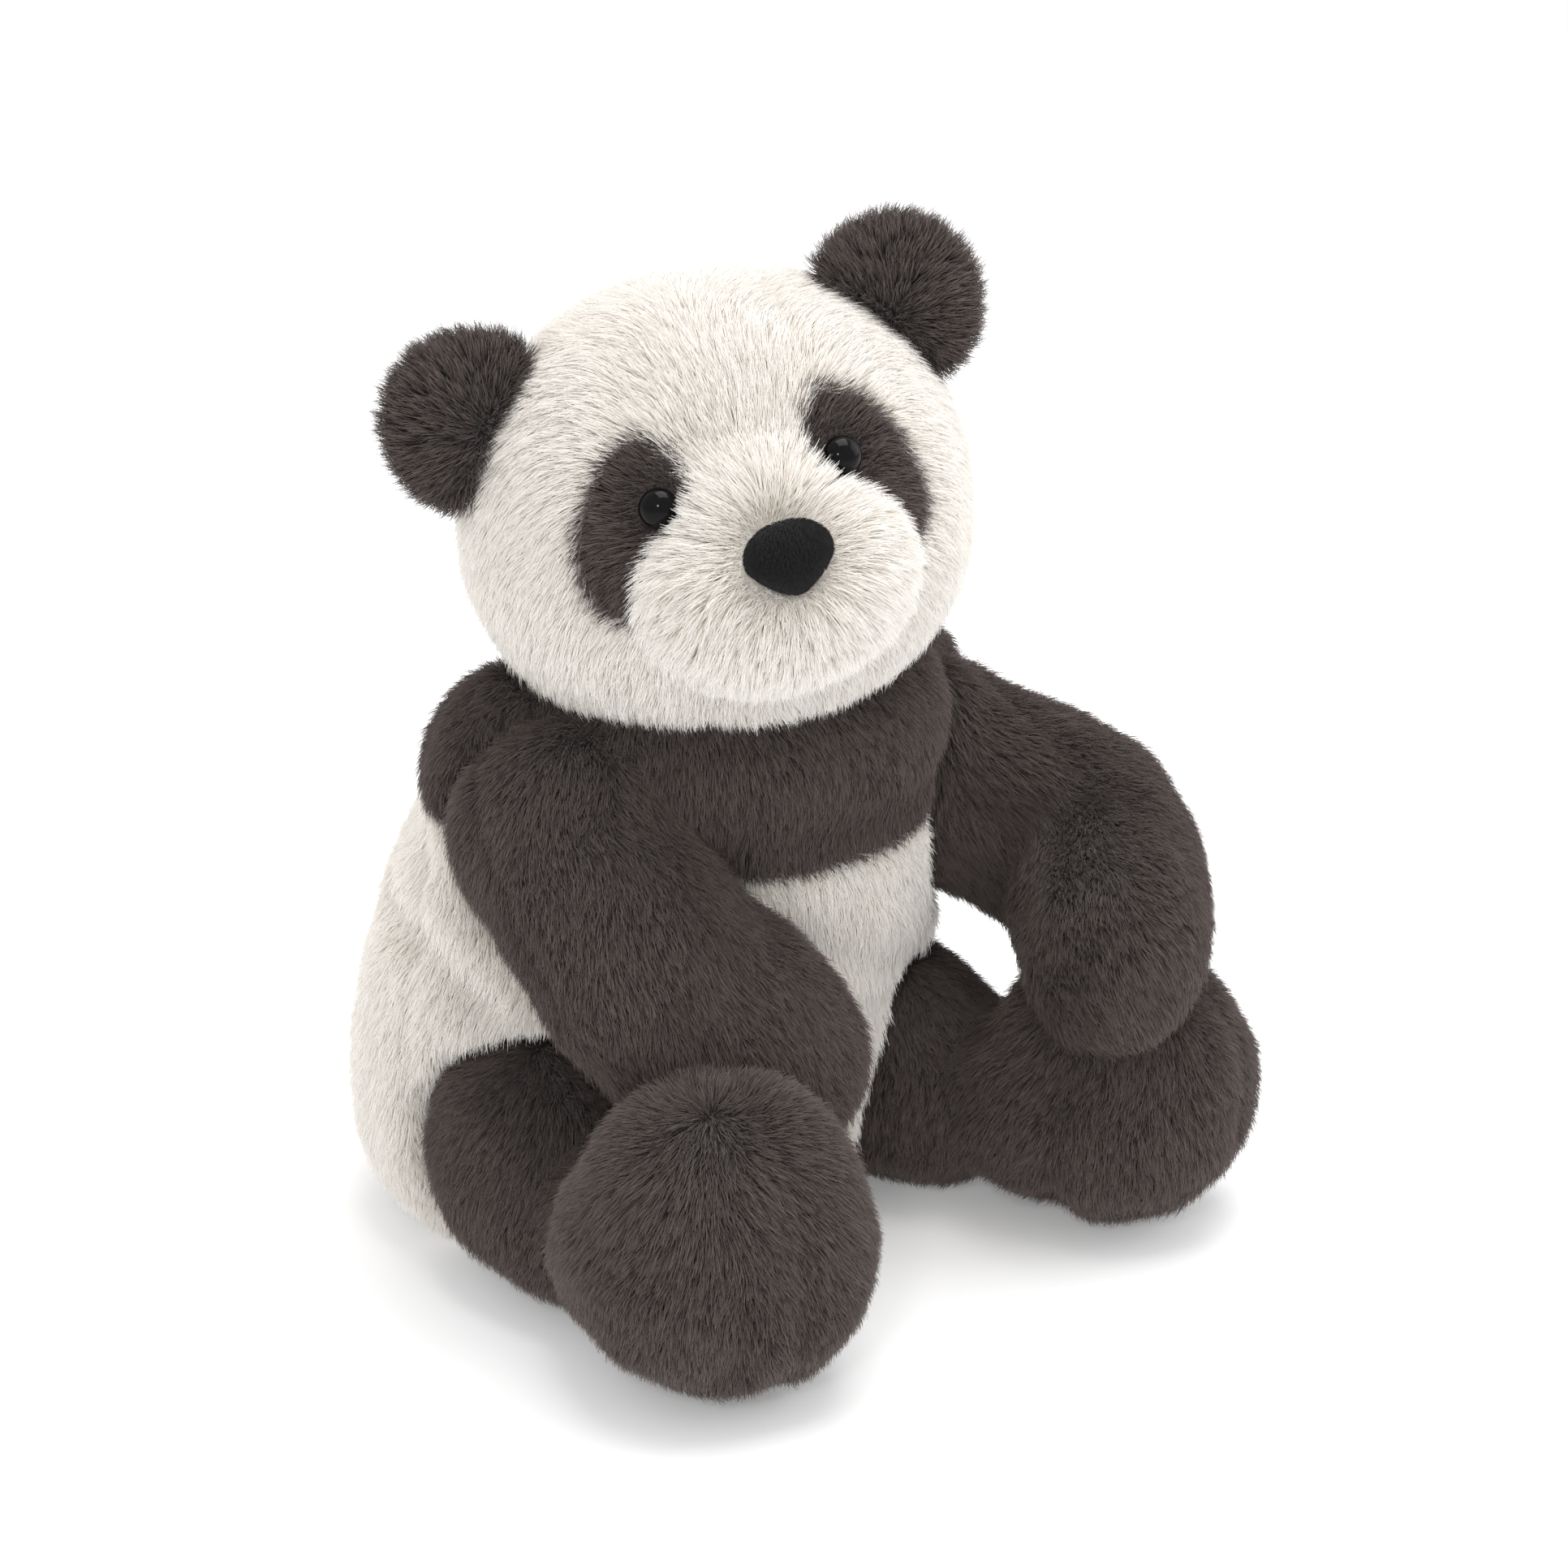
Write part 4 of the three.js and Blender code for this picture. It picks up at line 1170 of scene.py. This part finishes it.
def filling_materials():
    """The finishes of the hidden parts, each made once."""
    rows = {
        "fibre": ("Stuffing fibre", (0.85, 0.85, 0.82), 350.0, 1.0),
        "cotton": ("Pouch cotton", (0.68, 0.64, 0.54), 1800.0, 0.9),
        "pellets": ("Pellets", (0.78, 0.78, 0.74), 420.0, 0.5),
        "washer": ("Washer plastic", (0.68, 0.68, 0.65), 900.0, 0.4),
    }
    return {key: bpy.data.materials.get(row[0]) or woven_material(*row) for key, row in rows.items()}


class PANDA_OT_stage(bpy.types.Operator):
    """Set the camera, the soft studio lights and the white floor"""

    bl_idname = "panda.stage"
    bl_label = "Stage"

    def execute(self, context):
        stage = context.scene.stage_sizes
        lens = bpy.data.cameras.new("Camera")
        lens.lens = stage.lens
        lens.clip_start = 0.01
        camera = link(bpy.data.objects.new("Camera", lens))
        camera.location = stage.camera
        away = Vector(stage.camera) - Vector(stage.target)
        camera.rotation_mode = "QUATERNION"
        camera.rotation_quaternion = (-away).to_track_quat("-Z", "Y")
        context.scene.camera = camera
        context.scene.view_settings.view_transform = "Standard"

        half = stage.floor / 2
        mesh = bpy.data.meshes.new("Floor")
        corners = [(-half, -half, 0), (half, -half, 0), (half, half, 0), (-half, half, 0)]
        mesh.from_pydata(corners, [], [(0, 1, 2, 3)])
        floor = link(bpy.data.objects.new("Floor", mesh))
        floor.location.z = min(0.0, CAD_BOX[0].z)
        paper, shader = plain_material("Floor paper", 0.9)
        shader.inputs["Base Color"].default_value = (0.93, 0.93, 0.935, 1)
        shader.inputs["Specular IOR Level"].default_value = 0.1
        shader.inputs["Emission Color"].default_value = (1, 1, 1, 1)
        shader.inputs["Emission Strength"].default_value = FLOOR_GLOW
        floor.data.materials.append(paper)

        world = bpy.data.worlds.new("Studio")
        context.scene.world = world
        world.use_nodes = True
        tree = world.node_tree
        sky = tree.nodes["Background"]
        sky.inputs["Color"].default_value = (1, 1, 1, 1)
        seen = add_node(tree, "ShaderNodeLightPath").outputs["Is Camera Ray"]
        strength = maths(tree, "ADD", maths(tree, "MULTIPLY", seen, 1.0 - WORLD_LIGHT), WORLD_LIGHT)
        tree.links.new(strength, sky.inputs["Strength"])
        for name, place, aim, size, power, tint in LIGHTS:
            light = bpy.data.lights.new(name, "AREA")
            light.shape = "RECTANGLE"
            light.size, light.size_y = size
            light.energy = power
            light.color = tint
            lamp = link(bpy.data.objects.new(name, light))
            lamp.location = place
            lamp.rotation_mode = "QUATERNION"
            lamp.rotation_quaternion = (Vector(aim) - Vector(place)).to_track_quat("-Z", "Y")
        return {"FINISHED"}


# Each light: name, place, what it faces, width and height, watts, tint.
LIGHTS = [
    ("Top softbox", (0.25, -0.1, 1.6), (0.0, -0.05, 0.1), (1.1, 1.1), 15.0, (1.0, 0.99, 0.975)),
    ("Window light", (-1.1, -1.1, 1.0), (0.0, -0.05, 0.16), (0.2, 0.22), 4.5, (1.0, 0.985, 0.96)),
    ("Fill light", (1.2, -0.6, 0.8), (0.0, -0.05, 0.12), (1.0, 1.0), 4.0, (0.97, 0.985, 1.0)),
]
# Strength of the surroundings on the toy, and of the floor's own glow.
WORLD_LIGHT = 0.8
FLOOR_GLOW = 0.2

# ------------------------------------------------------------------------------ folds

# Each fold: the points that it runs through, its depth and its width.
TORSO_FOLDS = [
    ([(-0.02, -0.075, 0.1), (0.005, -0.079, 0.09), (0.024, -0.077, 0.083), (0.052, -0.066, 0.074)],
     0.0035, 0.007),
    ([(-0.005, -0.078, 0.083), (0.01, -0.078, 0.077), (0.026, -0.075, 0.069), (0.05, -0.06, 0.066)],
     0.0028, 0.006),
    ([(-0.078, 0.012, 0.101), (-0.08, -0.002, 0.0975), (-0.08, -0.019, 0.092), (-0.076, -0.035, 0.083)],
     0.0035, 0.007),
]
ARM_FOLDS = {
    "right": [([(-0.046, -0.05, 0.158), (-0.06, -0.073, 0.144), (-0.066, -0.084, 0.13)], 0.0022, 0.006)],
    "left": [
        ([(0.07, -0.064, 0.086), (0.077, -0.07, 0.092), (0.078, -0.076, 0.102)], 0.0018, 0.006),
        ([(0.06, -0.062, 0.122), (0.068, -0.07, 0.12), (0.075, -0.077, 0.113)], 0.0018, 0.006),
    ],
}
LEG_FOLDS = {
    "right": [([(-0.079, -0.156, 0.04), (-0.08, -0.156, 0.03), (-0.078, -0.15, 0.018)], 0.004, 0.005)],
    "left": [([(0.072, -0.113, 0.058), (0.058, -0.12, 0.049), (0.057, -0.118, 0.032), (0.068, -0.108, 0.012)],
              0.004, 0.006)],
}
# The middle of each foot, and the whorl on top of it that its pile runs out from.
FEET = {"right": (-0.061, -0.121, 0.039), "left": (0.092, -0.104, 0.039)}
WHORLS = {"right": (-0.07, -0.128, 0.078), "left": (0.088, -0.112, 0.082)}
# The puffed top of each foot, centre and radii, and the round root of each arm.
FOOT_FILLING = {
    "right": ((-0.061, -0.121, 0.0455), (0.037, 0.037, 0.040)),
    "left": ((0.092, -0.104, 0.043), (0.037, 0.037, 0.038)),
}
ARM_CAP = 0.0315
# Stuffing that fills the shoulders up, under the head and inside the arms' roots: centre and radii.
SHOULDER_FILLING = [
    ((0.004, -0.036, 0.148), (0.066, 0.055, 0.034)),
    *[(tuple(JOINTS[f"arm_{side}_lift"]["pos_m"]), (0.025, 0.025, 0.025)) for side in SIDES],
    *[(tuple(JOINTS[f"hip_{side}_splay"]["pos_m"]), (0.031, 0.031, 0.031)) for side in SIDES],
]
# The puffed bridge of the muzzle, in the head's own frame.
BRIDGE_PLACE = (0.0, -0.056, 0.0)
BRIDGE_RADIUS = 0.0225


def frame_members(body):
    """The frame's nodes that move with a body."""
    return frame["record"]["behaviour"]["bodies"][body]


# ------------------------------------------------------------------------------ panel and run

PIECES = (
    PANDA_OT_stage, PANDA_OT_torso, PANDA_OT_head, PANDA_OT_ears, PANDA_OT_arms, PANDA_OT_legs, PANDA_OT_eyes,
    PANDA_OT_nose, PANDA_OT_filling,
)


class PANDA_PT_builder(bpy.types.Panel):
    """Lists the sizes, the colours and the steps that build the toy"""

    bl_idname = "PANDA_PT_builder"
    bl_label = "Plush Panda"
    bl_space_type = "VIEW_3D"
    bl_region_type = "UI"
    bl_category = "Panda"

    def draw(self, context):
        for key in GROUPS:
            settings = getattr(context.scene, key)
            box = self.layout.box()
            for name in settings.__annotations__:
                box.prop(settings, name)
        column = self.layout.column()
        for piece in PIECES:
            column.operator(piece.bl_idname)


GROUPS = {
    "plush_sizes": PlushSizes, "face_sizes": FaceSizes, "plush_colours": PlushColours,
    "stage_sizes": StageSizes,
}


def register():
    for kind in (*GROUPS.values(), *PIECES, PANDA_PT_builder):
        bpy.utils.register_class(kind)
    for name, kind in GROUPS.items():
        setattr(bpy.types.Scene, name, PointerProperty(type=kind))


def unregister():
    for name in GROUPS:
        delattr(bpy.types.Scene, name)
    for kind in reversed((*GROUPS.values(), *PIECES, PANDA_PT_builder)):
        bpy.utils.unregister_class(kind)


def main():
    register()
    bpy.ops.panda.stage()
    bpy.ops.panda.torso()
    bpy.ops.panda.head()
    bpy.ops.panda.ears()
    bpy.ops.panda.arms()
    bpy.ops.panda.legs()
    bpy.ops.panda.eyes()
    bpy.ops.panda.nose()
    bpy.ops.panda.filling()


if __name__ == "__main__":
    main()
